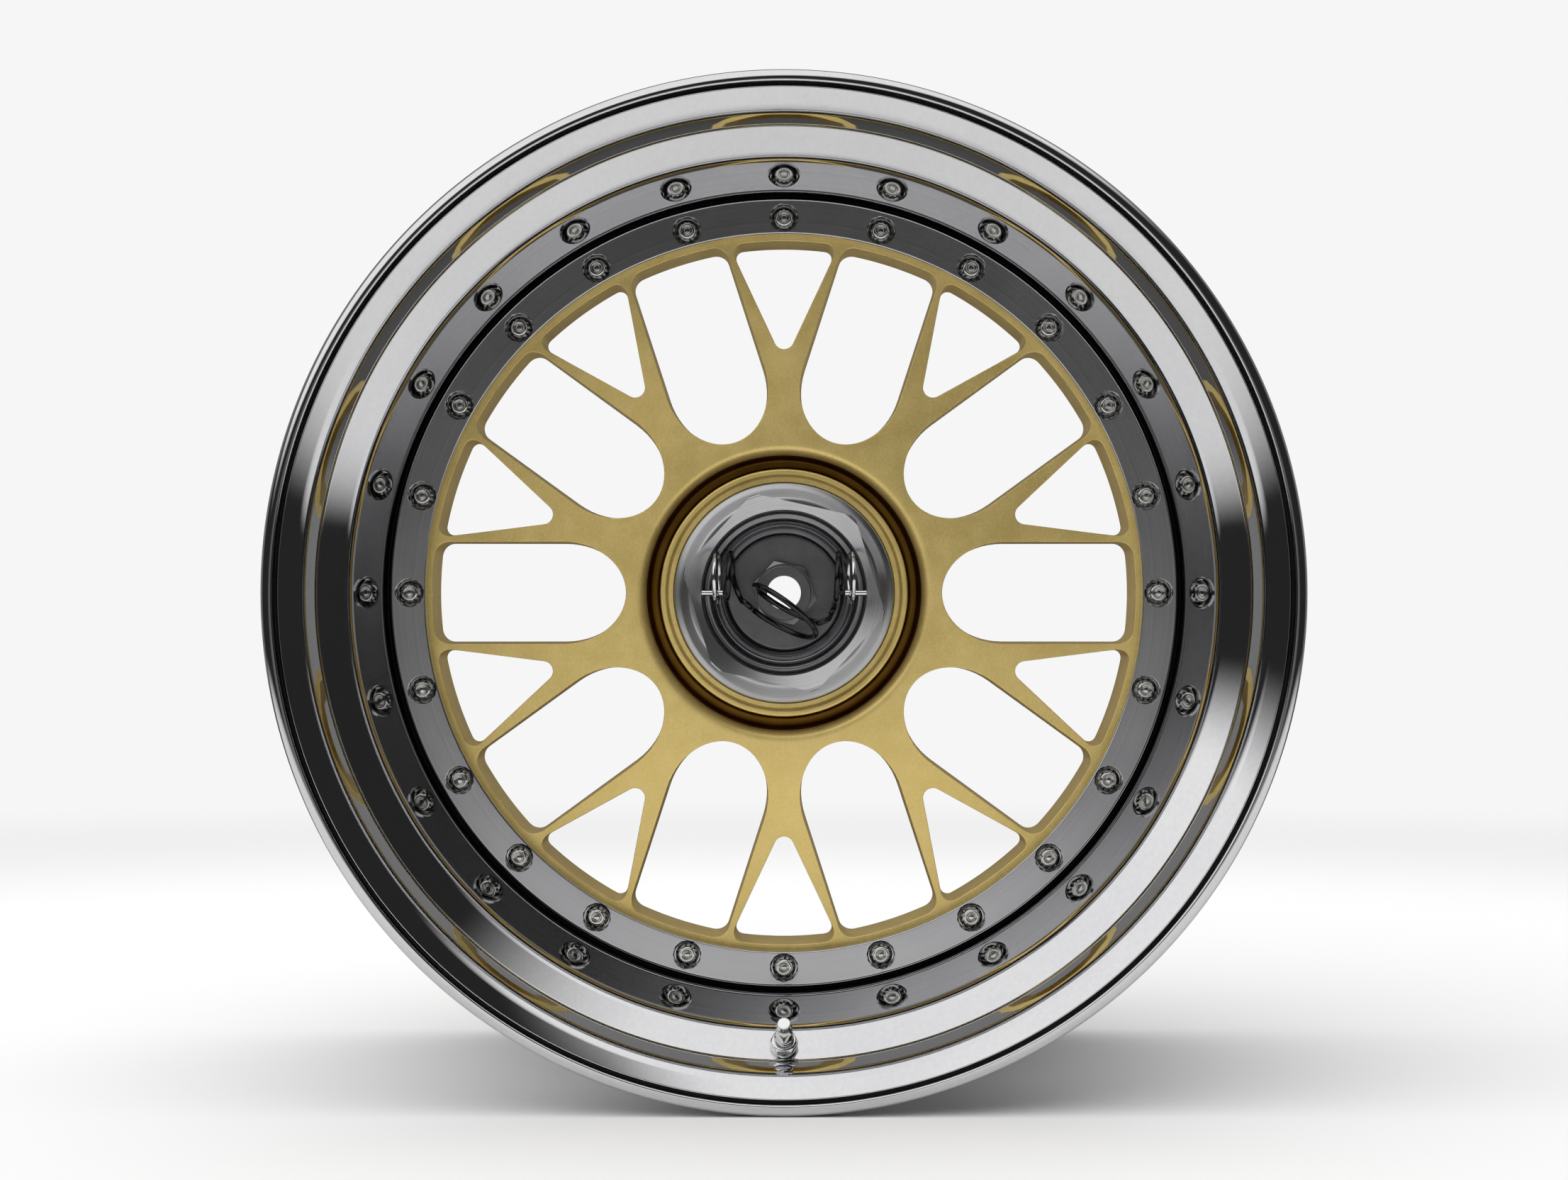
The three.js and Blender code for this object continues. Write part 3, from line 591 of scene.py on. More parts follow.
@dataclass
class OuterLip:
    """The stepped, polished outer half of the rim with its bolting ring.

    Depths run back from the front flange.
    """

    facets: int = 288
    flange_radius: float = 248.5
    flange_thick: float = 13.3
    ring_depth: float = 98.0
    ring_back: float = 108.0
    ring_inner: float = 181.0
    ring_outer: float = 199.3
    skirt_inner: float = 200.6
    skirt_back: float = 132.3
    well_radius: float = 205.4
    counterbore: float = 6.3
    counterbore_depth: float = 5.5
    ring_groove: tuple[float, float] = (199.2, 200.85)
    flange_groove: tuple[float, float] = (240.9, 242.3)

    def corners(self) -> list[Corner]:
        """Gives the lip's profile, from the flange's rim over the front and back up the tyre side."""

        def at(radius: float, depth: float, ease: float = 0.0, steps: int = 4) -> Corner:
            """A corner at a depth behind the front flange."""
            return Corner(radius, FRONT_Y + depth, ease, steps)

        flange = [
            at(self.flange_radius, 0, 4.2, 8),
            at(242.7, 0, 0.8, 4),
            at(242.1, 3.4, 0.2, 2),
            at(241.0, 3.4, 0.2, 2),
            at(240.3, 1.9, 0.5, 3),
        ]
        steps = [
            at(229.73, 7.25, 4.0, 8),
            at(227.2, 14.2, 3.0, 6),
            at(225.2, 22.2, 1.0, 4),
            at(226.32, 30.94, 1.5, 4),
            at(210.76, 40.89, 4.4, 10),
            at(200.9, 96.3, 0.5, 3),
        ]
        ring = [
            at(200.75, 103.0, 0.3, 2),
            at(199.5, 103.0, 0.3, 2),
            at(self.ring_outer, self.ring_depth, 2.0, 5),
            at(self.ring_inner, self.ring_depth, 0.9, 4),
            at(self.ring_inner, self.ring_back),
        ]
        tyre_side = [
            at(self.skirt_inner, self.ring_back),
            at(self.skirt_inner, self.skirt_back),
            at(self.well_radius - 3, self.skirt_back),
            at(self.well_radius, self.skirt_back - 3),
            at(self.well_radius, self.ring_depth, 4, 4),
            at(215.1, 44.5, 3, 4),
            at(229.0, 35.2, 1.5, 3),
            at(231.0, 17.3, 2, 4),
            at(234.0, self.flange_thick, 1, 3),
            at(self.flange_radius, self.flange_thick, 2, 4),
        ]
        return flange + steps + ring + tyre_side

    def counterbores(self) -> bmesh.types.BMesh:
        """Makes the tool for the bolts' countersunk seats and holes."""
        front = FRONT_Y + self.ring_depth
        floor = front + self.counterbore_depth
        tool = turn(
            [
                Corner(0, front - 2), Corner(self.counterbore + 3.0, front - 2),
                Corner(self.counterbore, front + 1.0, 0.3, 2), Corner(self.counterbore, floor),
                Corner(BOLT_HOLE, floor), Corner(BOLT_HOLE, front + 12), Corner(0, front + 12),
            ],
            40,
            False,
        )
        bmesh.ops.translate(tool, vec=(0, 0, BOLT_CIRCLE), verts=tool.verts[:])
        return around(tool, BOLT_COUNT)

    def finish_of(self, face: bmesh.types.BMFace) -> int:
        """Tells the faced ring, the second finish, and the narrow grooves, the third finish of painted
        shade, from the rest.
        """
        centre = face.calc_center_median()
        reach = math.hypot(centre.x, centre.z)
        front = FRONT_Y + self.ring_depth
        in_ring_groove = (
            self.ring_groove[0] < reach < self.ring_groove[1] and front + 0.4 < centre.y < front + 6
        )
        in_flange_groove = (
            self.flange_groove[0] < reach < self.flange_groove[1] and centre.y < FRONT_Y + 4
        )
        if in_ring_groove or in_flange_groove:
            return 2
        return int(reach < self.ring_outer - 2 and centre.y < front + 0.3)

    def build(self, valve_hole: bmesh.types.BMesh) -> None:
        """Makes the lip, with its counterbores and the valve's hole."""
        mesh = carve(turn(self.corners(), self.facets), self.counterbores())
        mesh = carve(mesh, valve_hole)
        # The third finish paints shade into the floors of the two narrow grooves.
        finish_piece(
            "polished_lip", mesh, [POLISHED, FACED, LIP_GROOVE_PAINTED_SHADE], Body.WHEEL, ["outer_lip"],
            self.finish_of,
        )


@dataclass
class InnerBarrel:
    """The spun inner half of the rim and the bead of sealant at its seam."""

    facets: int = 240
    wall: float = 4.9
    flange_front: float = -20.4
    flange_back: float = -12.4
    flange_inner: float = 182.0
    well_radius: float = 205.4
    hump_radius: float = 224.5
    rear: float = 153.0
    flange_radius: float = 248.5

    def build(self) -> None:
        """Makes the barrel and its sealant."""
        inside = self.well_radius - self.wall
        corners = [
            Corner(self.flange_inner, self.flange_front, 0.6, 3),
            Corner(self.well_radius - 3, self.flange_front),
            Corner(self.well_radius, self.flange_front + 3),
            Corner(self.well_radius, 38, 8, 6),
            Corner(self.hump_radius, 88, 8, 6),
            Corner(self.hump_radius, 110, 3, 4),
            Corner(229.6, self.rear - 34.4, 2, 4),
            Corner(231, self.rear - 17.3, 2, 4),
            Corner(234, self.rear - 13.3, 1, 3),
            Corner(self.flange_radius, self.rear - 13.3, 2, 4),
            Corner(self.flange_radius, self.rear, 4.2, 8),
            Corner(239.5, self.rear, 3, 5),
            Corner(231.5, self.rear - 5, 3, 5),
            Corner(225.7, self.rear - 12, 3, 5),
            Corner(224.7, self.rear - 34.4, 3, 5),
            Corner(self.hump_radius - self.wall, 111, 3, 4),
            Corner(self.hump_radius - self.wall, 90, 8, 6),
            Corner(inside, 40, 8, 6),
            Corner(inside, self.flange_back, 4.5, 6),
            Corner(self.flange_inner, self.flange_back, 0.8, 3),
        ]
        holes = around(drill(BOLT_HOLE, self.flange_front - 1, self.flange_back + 1), BOLT_COUNT)
        mesh = carve(turn(corners, self.facets), holes)
        finish_piece("spun_barrel", mesh, [SPUN], Body.WHEEL, ["inner_barrel"])

        seam = self.flange_front - 0.15
        bead = turn(
            [
                Corner(self.well_radius - 2.3, seam),
                Corner(self.well_radius - 0.2, seam - 2.1, 0.3, 2),
                Corner(self.well_radius - 0.5, seam, 1.2, 3),
                Corner(self.well_radius - 0.2, seam + 2.1, 0.3, 2),
            ],
            self.facets,
        )
        finish_piece("sealant_bead", bead, [SEALANT], Body.WHEEL, ["rim_seal"])


@dataclass
class Outline:
    """An outline in the wheel's plane, drawn with lines and arcs.

    Attributes:
        mesh: The mesh that holds it.
        verts: Its vertices in order.
    """

    mesh: bmesh.types.BMesh = field(default_factory=bmesh.new)
    verts: list[bmesh.types.BMVert] = field(default_factory=list)

    def line(self, x: float, z: float) -> "Outline":
        """Draws a straight line to a point."""
        if self.verts and (self.verts[-1].co - Vector((x, 0, z))).length < 1e-3:
            return self
        vert = self.mesh.verts.new((x, 0, z))
        if self.verts:
            self.mesh.edges.new((self.verts[-1], vert))
        self.verts.append(vert)
        return self

    def arc(self, x: float, z: float, degrees: float, steps: int) -> "Outline":
        """Turns the last point round a centre.

        Args:
            x: The centre's place across.
            z: The centre's place upwards.
            degrees: How far it turns, clockwise from the front.
            steps: Segments of the arc.

        Returns:
            The outline.
        """
        pivot = Vector((x, 0, z))
        step = Matrix.Rotation(math.radians(degrees / steps), 3, "Y")
        for _ in range(steps):
            point = pivot + step @ (self.verts[-1].co - pivot)
            self.line(point.x, point.z)
        return self

    def fill(self) -> bmesh.types.BMesh:
        """Closes the outline and fills it with one face."""
        if (self.verts[-1].co - self.verts[0].co).length > 1e-3:
            self.mesh.edges.new((self.verts[-1], self.verts[0]))
        else:
            bmesh.ops.remove_doubles(self.mesh, verts=self.mesh.verts[:], dist=1e-3)
        bmesh.ops.contextual_create(self.mesh, geom=self.mesh.edges[:])
        return self.mesh


def polar(radius: float, degrees: float) -> tuple[float, float]:
    """Gives x and z of a point by its radius and its degrees clockwise from the top."""
    return radius * math.sin(math.radians(degrees)), radius * math.cos(math.radians(degrees))


@dataclass
class CentreDisc:
    """The gold forging: a grooved hub, ten forked spokes and the rim that is bolted between the halves."""

    rim_radius: float = 200.2
    hub_radius: float = 76.0
    window_outer: float = 176.6
    window_half: float = 25.1
    window_corner: float = 7.0
    window_waist: float = 112.0
    window_inner: float = 80.4
    fork_apex: float = 123.9
    fork_round: float = 4.3
    fork_corner: float = 4.0
    fork_slope: float = 25.0
    rim_front: float = -44.7
    rim_back: float = -20.7
    hub_front: float = -55.0
    hub_back: float = -8.0
    draft: float = 0.7
    edge: float = 1.25
    back_edge: float = 0.8
    arc_steps: int = 12
    outer_flare: float = 1.1
    groove: tuple[float, float] = (61.8, 69.4)
    groove_floor: float = 12.0
    pocket_radius: float = 8.3
    pocket_floor: float = -28.3

    @property
    def thick(self) -> float:
        """Depth of the disc at its rim."""
        return self.rim_back - self.rim_front

    def _half_spoke(self) -> bmesh.types.BMesh:
        """Draws the eighteen degrees from the middle of a spoke to the middle of a window."""
        half_pitch = 180 / SPOKE_PAIRS
        slope = math.radians(self.fork_slope)
        apex = self.fork_apex + self.fork_round
        side = Vector((math.sin(slope), math.cos(slope)))
        outward = Vector((math.cos(slope), -math.sin(slope)))
        start = Vector((0, apex)) + outward * (self.fork_round - self.fork_corner)
        along = start.dot(side)
        reach = self.window_outer - self.fork_corner
        corner = start + side * (math.sqrt(along**2 - start.length_squared + reach**2) - along)
        fork_lean = math.degrees(math.atan2(corner.x, corner.y))

        outline = Outline().line(0, self.hub_radius).line(0, self.fork_apex)
        outline.arc(0, apex, self.fork_slope - 90, 7)
        touch = corner + outward * self.fork_corner
        outline.line(touch.x, touch.y)
        outline.arc(corner.x, corner.y, fork_lean - 90 - self.fork_slope, 7)
        outline.arc(0, 0, -fork_lean, 8)
        outline.line(*polar(self.rim_radius, 0)).arc(0, 0, half_pitch, self.arc_steps)

        across = self.window_half - self.window_corner
        up = math.sqrt((self.window_outer - self.window_corner) ** 2 - across**2)
        window_lean = math.degrees(math.atan2(across, up))
        middle = Matrix.Rotation(math.radians(half_pitch), 3, "Y")
        centre = middle @ Vector((-across, 0, up))
        outline.line(*polar(self.window_outer, half_pitch)).arc(0, 0, -window_lean, 5)
        outline.arc(centre.x, centre.z, window_lean - 90, 8)
        waist = middle @ Vector((-self.window_half, 0, self.window_waist))
        outline.line(waist.x, waist.z)
        flat = (self.window_waist - self.window_inner) / self.window_half
        for quarter in range(1, 15):
            turn_by = math.radians(quarter * 90 / 14)
            point = middle @ Vector(
                (
                    -self.window_half * math.cos(turn_by),
                    0,
                    self.window_waist - self.window_half * flat * math.sin(turn_by),
                )
            )
            outline.line(point.x, point.z)
        outline.line(*polar(self.hub_radius, half_pitch)).arc(0, 0, -half_pitch, self.arc_steps)
        return outline.fill()

    def _sheet(self) -> bmesh.types.BMesh:
        """Makes the flat plan of the whole disc outside the hub."""
        mesh = self._half_spoke()
        for height in range(84, 198, 6):
            bmesh.ops.bisect_plane(
                mesh, geom=everything(mesh), dist=1e-4, plane_co=(0, 0, height), plane_no=(0, 0, 1)
            )
        bmesh.ops.mirror(mesh, geom=everything(mesh), merge_dist=1e-3, axis="X")
        bmesh.ops.spin(
            mesh, geom=everything(mesh), cent=(0, 0, 0), axis=AXLE, use_duplicate=True,
            angle=2 * math.pi * (SPOKE_PAIRS - 1) / SPOKE_PAIRS, steps=SPOKE_PAIRS - 1,
        )
        bmesh.ops.remove_doubles(mesh, verts=mesh.verts[:], dist=5e-3)
        bmesh.ops.recalc_face_normals(mesh, faces=mesh.faces[:])
        if mesh.faces[0].normal.y > 0:
            bmesh.ops.reverse_faces(mesh, faces=mesh.faces[:])
        return mesh

    def _front_y(self, reach: float) -> float:
        """Gives the front surface's place along the axle at a radius."""
        share = min(1.0, max(0.0, (reach - self.hub_radius) / (self.window_outer - self.hub_radius)))
        eased = 0.5 * share + 0.5 * share * share * (3 - 2 * share)
        return self.hub_front + (self.rim_front - self.hub_front) * eased

    def _back_y(self, reach: float) -> float:
        """Gives the back surface's place along the axle at a radius."""
        stops = [
            (self.hub_radius, self.hub_back), (80.0, -16.0), (172.6, -23.7),
            (self.window_outer, self.rim_back),
        ]
        if reach <= stops[0][0]:
            return stops[0][1]
        for (near, low), (far, high) in zip(stops, stops[1:]):
            if reach <= far:
                return low + (high - low) * (reach - near) / (far - near)
        return self.rim_back

    def _spokes(self) -> bmesh.types.BMesh:
        """Makes the spokes and rim: drafted walls, rounded edges and the sloping faces."""
        mesh = self._sheet()
        back = bmesh.ops.duplicate(mesh, geom=everything(mesh))["geom"]
        back_faces = [g for g in back if isinstance(g, bmesh.types.BMFace)]
        back_set = set(back_faces)
        front_faces = [f for f in mesh.faces if f not in back_set]
        bmesh.ops.reverse_faces(mesh, faces=back_faces)
        hub_edges = [
            e for e in {e for f in front_faces for e in f.edges}
            if e.is_boundary and all(v.co.length < self.hub_radius + 0.1 for v in e.verts)
        ]
        cap = bmesh.ops.contextual_create(mesh, geom=hub_edges)["faces"]
        if cap[0].normal.y > 0:
            bmesh.ops.reverse_faces(mesh, faces=cap)
        walls = bmesh.ops.inset_region(
            mesh, faces=front_faces + cap, thickness=self.draft, use_boundary=True, use_even_offset=True
        )["faces"]
        bmesh.ops.delete(mesh, geom=cap, context="FACES_ONLY")
        raised = {v for f in front_faces for v in f.verts}
        bmesh.ops.translate(mesh, vec=(0, -self.thick, 0), verts=list(raised))
        wall_set, front_set = set(walls), set(front_faces)
        front_edges = [
            e for e in mesh.edges
            if len(e.link_faces) == 2 and len({f in wall_set for f in e.link_faces}) == 2
            and any(f in front_set for f in e.link_faces)
        ]
        bmesh.ops.bevel(
            mesh, geom=front_edges, offset=self.edge, offset_type="OFFSET", segments=4,
            profile=0.5, affect="EDGES", material=-1, clamp_overlap=True, loop_slide=True,
        )
        bmesh.ops.remove_doubles(mesh, verts=mesh.verts[:], dist=2e-3)
        back_edges = [
            e for e in mesh.edges
            if len(e.link_faces) == 2 and all(abs(v.co.y) < 1e-3 for v in e.verts)
            and e.calc_face_angle(0) > 1
        ]
        bmesh.ops.bevel(
            mesh, geom=back_edges, offset=self.back_edge, offset_type="OFFSET", segments=2,
            profile=0.5, affect="EDGES", material=-1, clamp_overlap=True, loop_slide=True,
        )
        for vert in mesh.verts:
            reach = math.hypot(vert.co.x, vert.co.z)
            if vert.co.y < -self.thick / 2:
                vert.co.y += self.thick + self._front_y(reach)
                flare = min(1.0, max(0.0, (reach - 170) / 6)) if reach < 185 else 0.0
                grow = 1 + self.outer_flare * flare / reach
                vert.co.x, vert.co.z = vert.co.x * grow, vert.co.z * grow
            else:
                vert.co.y += self._back_y(reach)
        return mesh

    def _hub(self) -> bmesh.types.BMesh:
        """Makes the hub: a grooved face, the nut's seat and the recess for the car's hub."""
        front, back = self.hub_front, self.hub_back
        return turn(
            [
                Corner(self.hub_radius, front),
                Corner(70.2, front, 4.2, 8),
                Corner(67.9, front + self.groove_floor, 1.4, 5),
                Corner(63.3, front + self.groove_floor, 1.2, 5),
                Corner(62.3, front, 0.9, 4),
                Corner(59.7, front, 0.3, 2),
                Corner(58.4, front + 1.5, 0.3, 2),
                Corner(55.8, front + 1.4, 0.4, 3),
                Corner(55.8, front + 5),
                Corner(52.6, front + 5),
                Corner(52.6, front + 24.3),
                Corner(42.0, front + 24.3),
                Corner(42.0, back - 6.3),
                Corner(50.3, back - 6.3),
                Corner(50.3, back, 0.5, 3),
                Corner(self.hub_radius, back),
            ],
            2 * SPOKE_PAIRS * self.arc_steps,
            closed=False,
        )

    def in_groove(self, face: bmesh.types.BMFace) -> int:
        """Tells the hub's groove, the second finish with its painted shade, from the blasted rest."""
        centre = face.calc_center_median()
        reach = math.hypot(centre.x, centre.z)
        depth = centre.y - self.hub_front
        return int(self.groove[0] < reach < self.groove[1] and 1.6 < depth < self.groove_floor + 2)

    def build(self) -> None:
        """Joins the spokes to the hub and drills the holes."""
        spokes, hub = self._spokes(), self._hub()
        spare = bpy.data.meshes.new("blank")
        hub.to_mesh(spare)
        hub.free()
        spokes.from_mesh(spare)
        bpy.data.meshes.remove(spare)
        bmesh.ops.remove_doubles(spokes, verts=spokes.verts[:], dist=2e-2)
        open_edges = [e for e in spokes.edges if not e.is_manifold]
        log.info("gold disc: %d open edges", len(open_edges))
        bmesh.ops.recalc_face_normals(spokes, faces=spokes.faces[:])
        pocket = rod(self.pocket_radius, self.pocket_floor, self.hub_back + 3, 32)
        bmesh.ops.translate(pocket, vec=(0, 0, DRIVE_CIRCLE), verts=pocket.verts[:])
        holes = around(drill(BOLT_HOLE, self.rim_front - 1, self.rim_back + 1), BOLT_COUNT)
        mesh = carve(carve(spokes, holes), around(pocket, DRIVE_COUNT, DRIVE_START))
        # The groove's finish paints its shade as a darker brown.
        finish_piece(
            "gold_disc", mesh, [GOLD, HUB_GROOVE_PAINTED_SHADE], Body.WHEEL, ["centre_disc"], self.in_groove
        )


@dataclass
class RimBolts:
    """The twelve-point bolts that clamp the halves and the disc, with their nuts at the back."""

    head_front: float = -55.2
    floor: float = -49.8
    flange: float = 6.0
    flange_thick: float = 1.6
    point_radius: float = 4.4
    hollow_radius: float = 3.85
    shank: float = 3.0
    tail: float = -3.4
    nut_front: float = -12.1
    nut_back: float = -6.0
    nut_flat: float = 5.0

    def _bolt(self) -> bmesh.types.BMesh:
        """Makes one bolt on the axle: a twelve-point head with a dimple, its flange and its shank."""
        star = bmesh.new()
        bmesh.ops.create_cone(
            star, cap_ends=True, segments=24, radius1=self.point_radius, radius2=self.point_radius,
            depth=self.floor - self.head_front - 0.4,
        )
        hollows = [
            v for v in star.verts
            if round(math.degrees(math.atan2(v.co.y, v.co.x)) / 15) % 2
        ]
        small = self.hollow_radius / self.point_radius
        bmesh.ops.scale(star, vec=(small, small, 1), verts=hollows)
        middle = (self.head_front + self.floor - 0.4) / 2
        bmesh.ops.transform(
            star, matrix=Matrix.Translation((0, middle, 0)) @ Matrix.Rotation(math.pi / 2, 4, "X"),
            verts=star.verts[:],
        )
        under = self.floor - self.flange_thick
        crown = turn(
            [
                Corner(0, self.head_front + 0.25), Corner(1.4, self.head_front + 0.25, 0.2, 2),
                Corner(1.75, self.head_front + 0.9, 0.2, 2), Corner(2.3, self.head_front + 0.9, 0.2, 2),
                Corner(2.6, self.head_front, 0.3, 3), Corner(3.5, self.head_front, 0.3, 3),
                Corner(4.45, self.head_front + 0.9, 0.2, 2), Corner(4.45, self.floor - 0.2),
                Corner(0, self.floor - 0.2),
            ],
            48, False,
        )
        base = turn(
            [
                Corner(0, under - 0.8), Corner(4.2, under - 0.8), Corner(self.flange, under + 0.5, 0.4, 3),
                Corner(self.flange, self.floor), Corner(self.shank, self.floor),
                Corner(self.shank, self.tail, 0.4, 2), Corner(0, self.tail),
            ],
            40, False,
        )
        return carve(carve(star, crown, Cut.COMMON), base, Cut.JOIN)

    def _nut(self) -> bmesh.types.BMesh:
        """Makes one chamfered hexagonal nut on the axle."""
        blank = turn(
            [
                Corner(3.1, self.nut_front), Corner(6.2, self.nut_front), Corner(6.2, self.nut_back),
                Corner(5.0, self.nut_back - 0.01, 0.9, 3), Corner(3.6, self.nut_back),
                Corner(3.1, self.nut_back - 0.5),
            ],
            48,
        )
        return carve(hex_bar(self.nut_flat, self.nut_front - 1, self.nut_back + 1), blank, Cut.COMMON)

    def build(self) -> None:
        """Makes the bolts and their nuts, each its own piece."""
        for kind, make, nodes in (("bolt", self._bolt, True), ("nut", self._nut, False)):
            made = make()
            pattern = bpy.data.meshes.new("pattern")
            made.to_mesh(pattern)
            made.free()
            for i in range(BOLT_COUNT):
                mesh = bmesh.new()
                mesh.from_mesh(pattern)
                place = Matrix.Rotation(2 * math.pi * i / BOLT_COUNT, 4, "Y") @ Matrix.Translation(
                    (0, 0, BOLT_CIRCLE)
                )
                bmesh.ops.transform(mesh, matrix=place, verts=mesh.verts[:])
                label = f"{i + 1:02d}"
                finish_piece(
                    f"twelve_point_{kind}_{label}" if nodes else f"rear_{kind}_{label}",
                    mesh, [BOLT_STEEL], Body.WHEEL, [f"rim_bolt_{label}"] if nodes else (),
                )
            bpy.data.meshes.remove(pattern)


# ---------- Hub ----------


@dataclass
class Spindle:
    """The drive spindle through the hub, with its plug, thrust cone, seat and drive bushes."""

    thread: float = 36.0
    front: float = -61.0
    bore: float = 30.2
    web_front: float = -46.0
    web_radius: float = 24.0
    pilot: float = 41.7
    collar: float = 50.0
    back: float = -8.3
    plug_radius: float = 29.8
    plug_front: float = -55.3
    plug_back: float = -46.3
    nut_front: float = -60.6
    nut_flat: float = 14.5
    boss: float = 13.6
    hole: float = 8.5
    nut_turn: float = 12.6

    def build(self) -> None:
        """Makes the spindle and everything on it that stays with the wheel."""
        front, back = self.front, self.back
        spindle = turn(
            [
                Corner(self.web_radius, back, 0.6, 3),
                Corner(self.web_radius, self.web_front),
                Corner(self.bore, self.web_front),
                Corner(self.bore, front + 0.9, 0.3, 2),
                Corner(31.4, front + 0.9, 0.2, 2),
                Corner(31.6, front, 0.2, 2),
                Corner(33.2, front, 0.2, 2),
                Corner(33.4, front + 0.8, 0.2, 2),
                Corner(33.9, front + 0.8, 0.2, 2),
                Corner(34.1, front + 0.1, 0.2, 2),
                Corner(35.0, front + 0.2, 0.2, 2),
                Corner(self.thread, front + 1.6, 0.3, 2),
                Corner(self.thread, -26.4),
                Corner(self.pilot, -26.4, 0.8, 3),
                Corner(self.pilot, back - 6),
                Corner(self.collar, back - 6, 0.8, 3),
                Corner(self.collar, back, 0.8, 3),
            ],
            144,
        )
        finish_piece("splined_spindle", spindle, [HUB_STEEL], Body.WHEEL, ["spindle"])
        plug = turn(
            [
                Corner(self.hole + 1, self.plug_front),
                Corner(self.plug_radius, self.plug_front, 2.0, 8),
                Corner(self.plug_radius, self.plug_back),
                Corner(self.hole + 1, self.plug_back),
            ],
            144,
        )
        finish_piece("spindle_end_plug", plug, [DARK_STEEL], Body.WHEEL, ["spindle_plug"])
        low, high = self.nut_front, self.plug_front - 0.3
        chamfer = turn(
            [
                Corner(self.hole, low - 1.2, 0.3, 3), Corner(self.boss, low - 1.2, 0.4, 3),
                Corner(self.boss + 0.1, low + 0.1), Corner(14.6, low + 0.1, 0.3, 2),
                Corner(16.9, low + 1.2), Corner(16.9, high), Corner(self.hole, high),
            ],
            96,
        )
        hexagon = carve(hex_bar(self.nut_flat, low - 3, high + 1, self.nut_turn), chamfer, Cut.COMMON)
        bevel_front(hexagon, low + 0.1, 0.9)
        finish_piece("hollow_plug_nut", hexagon, [DARK_STEEL], Body.WHEEL, ["plug_nut"])
        slope = math.tan(math.radians(24))
        cone = turn(
            [
                Corner(39.9, -51.7, 0.5, 2), Corner(49, -51.7, 0.6, 3),
                Corner(49 - 17 * slope, -34.7, 0.5, 2), Corner(36.6, -34.7), Corner(36.6, -42.7),
                Corner(39.9, -42.7),
            ],
            120,
        )
        finish_piece("thrust_cone_ring", cone, [HUB_STEEL], Body.CONE, ["thrust_cone"])
        seat = turn(
            [
                Corner(48.46, -49.7), Corner(52.3, -49.7, 0.4, 2), Corner(52.3, -31, 0.4, 2),
                Corner(42.0, -31), Corner(42.0, -35.3),
            ],
            120,
        )
        finish_piece("cone_seat_ring", seat, [HUB_STEEL], Body.WHEEL, ["taper_seat"])
        for i in range(DRIVE_COUNT):
            bush = turn(
                [
                    Corner(6.25, -28, 0.5, 2), Corner(8, -28, 0.4, 2), Corner(8, -8.3, 0.5, 3),
                    Corner(6.25, -8.3, 0.8, 3),
                ],
                48,
            )
            way = math.radians(DRIVE_START + 360 // DRIVE_COUNT * i)
            place = Matrix.Rotation(way, 4, "Y") @ Matrix.Translation((0, 0, DRIVE_CIRCLE))
            bmesh.ops.transform(bush, matrix=place, verts=bush.verts[:])
            finish_piece(
                f"drive_socket_{i + 1}", bush, [HUB_STEEL], Body.WHEEL, [f"drive_bush_{i + 1}"]
            )


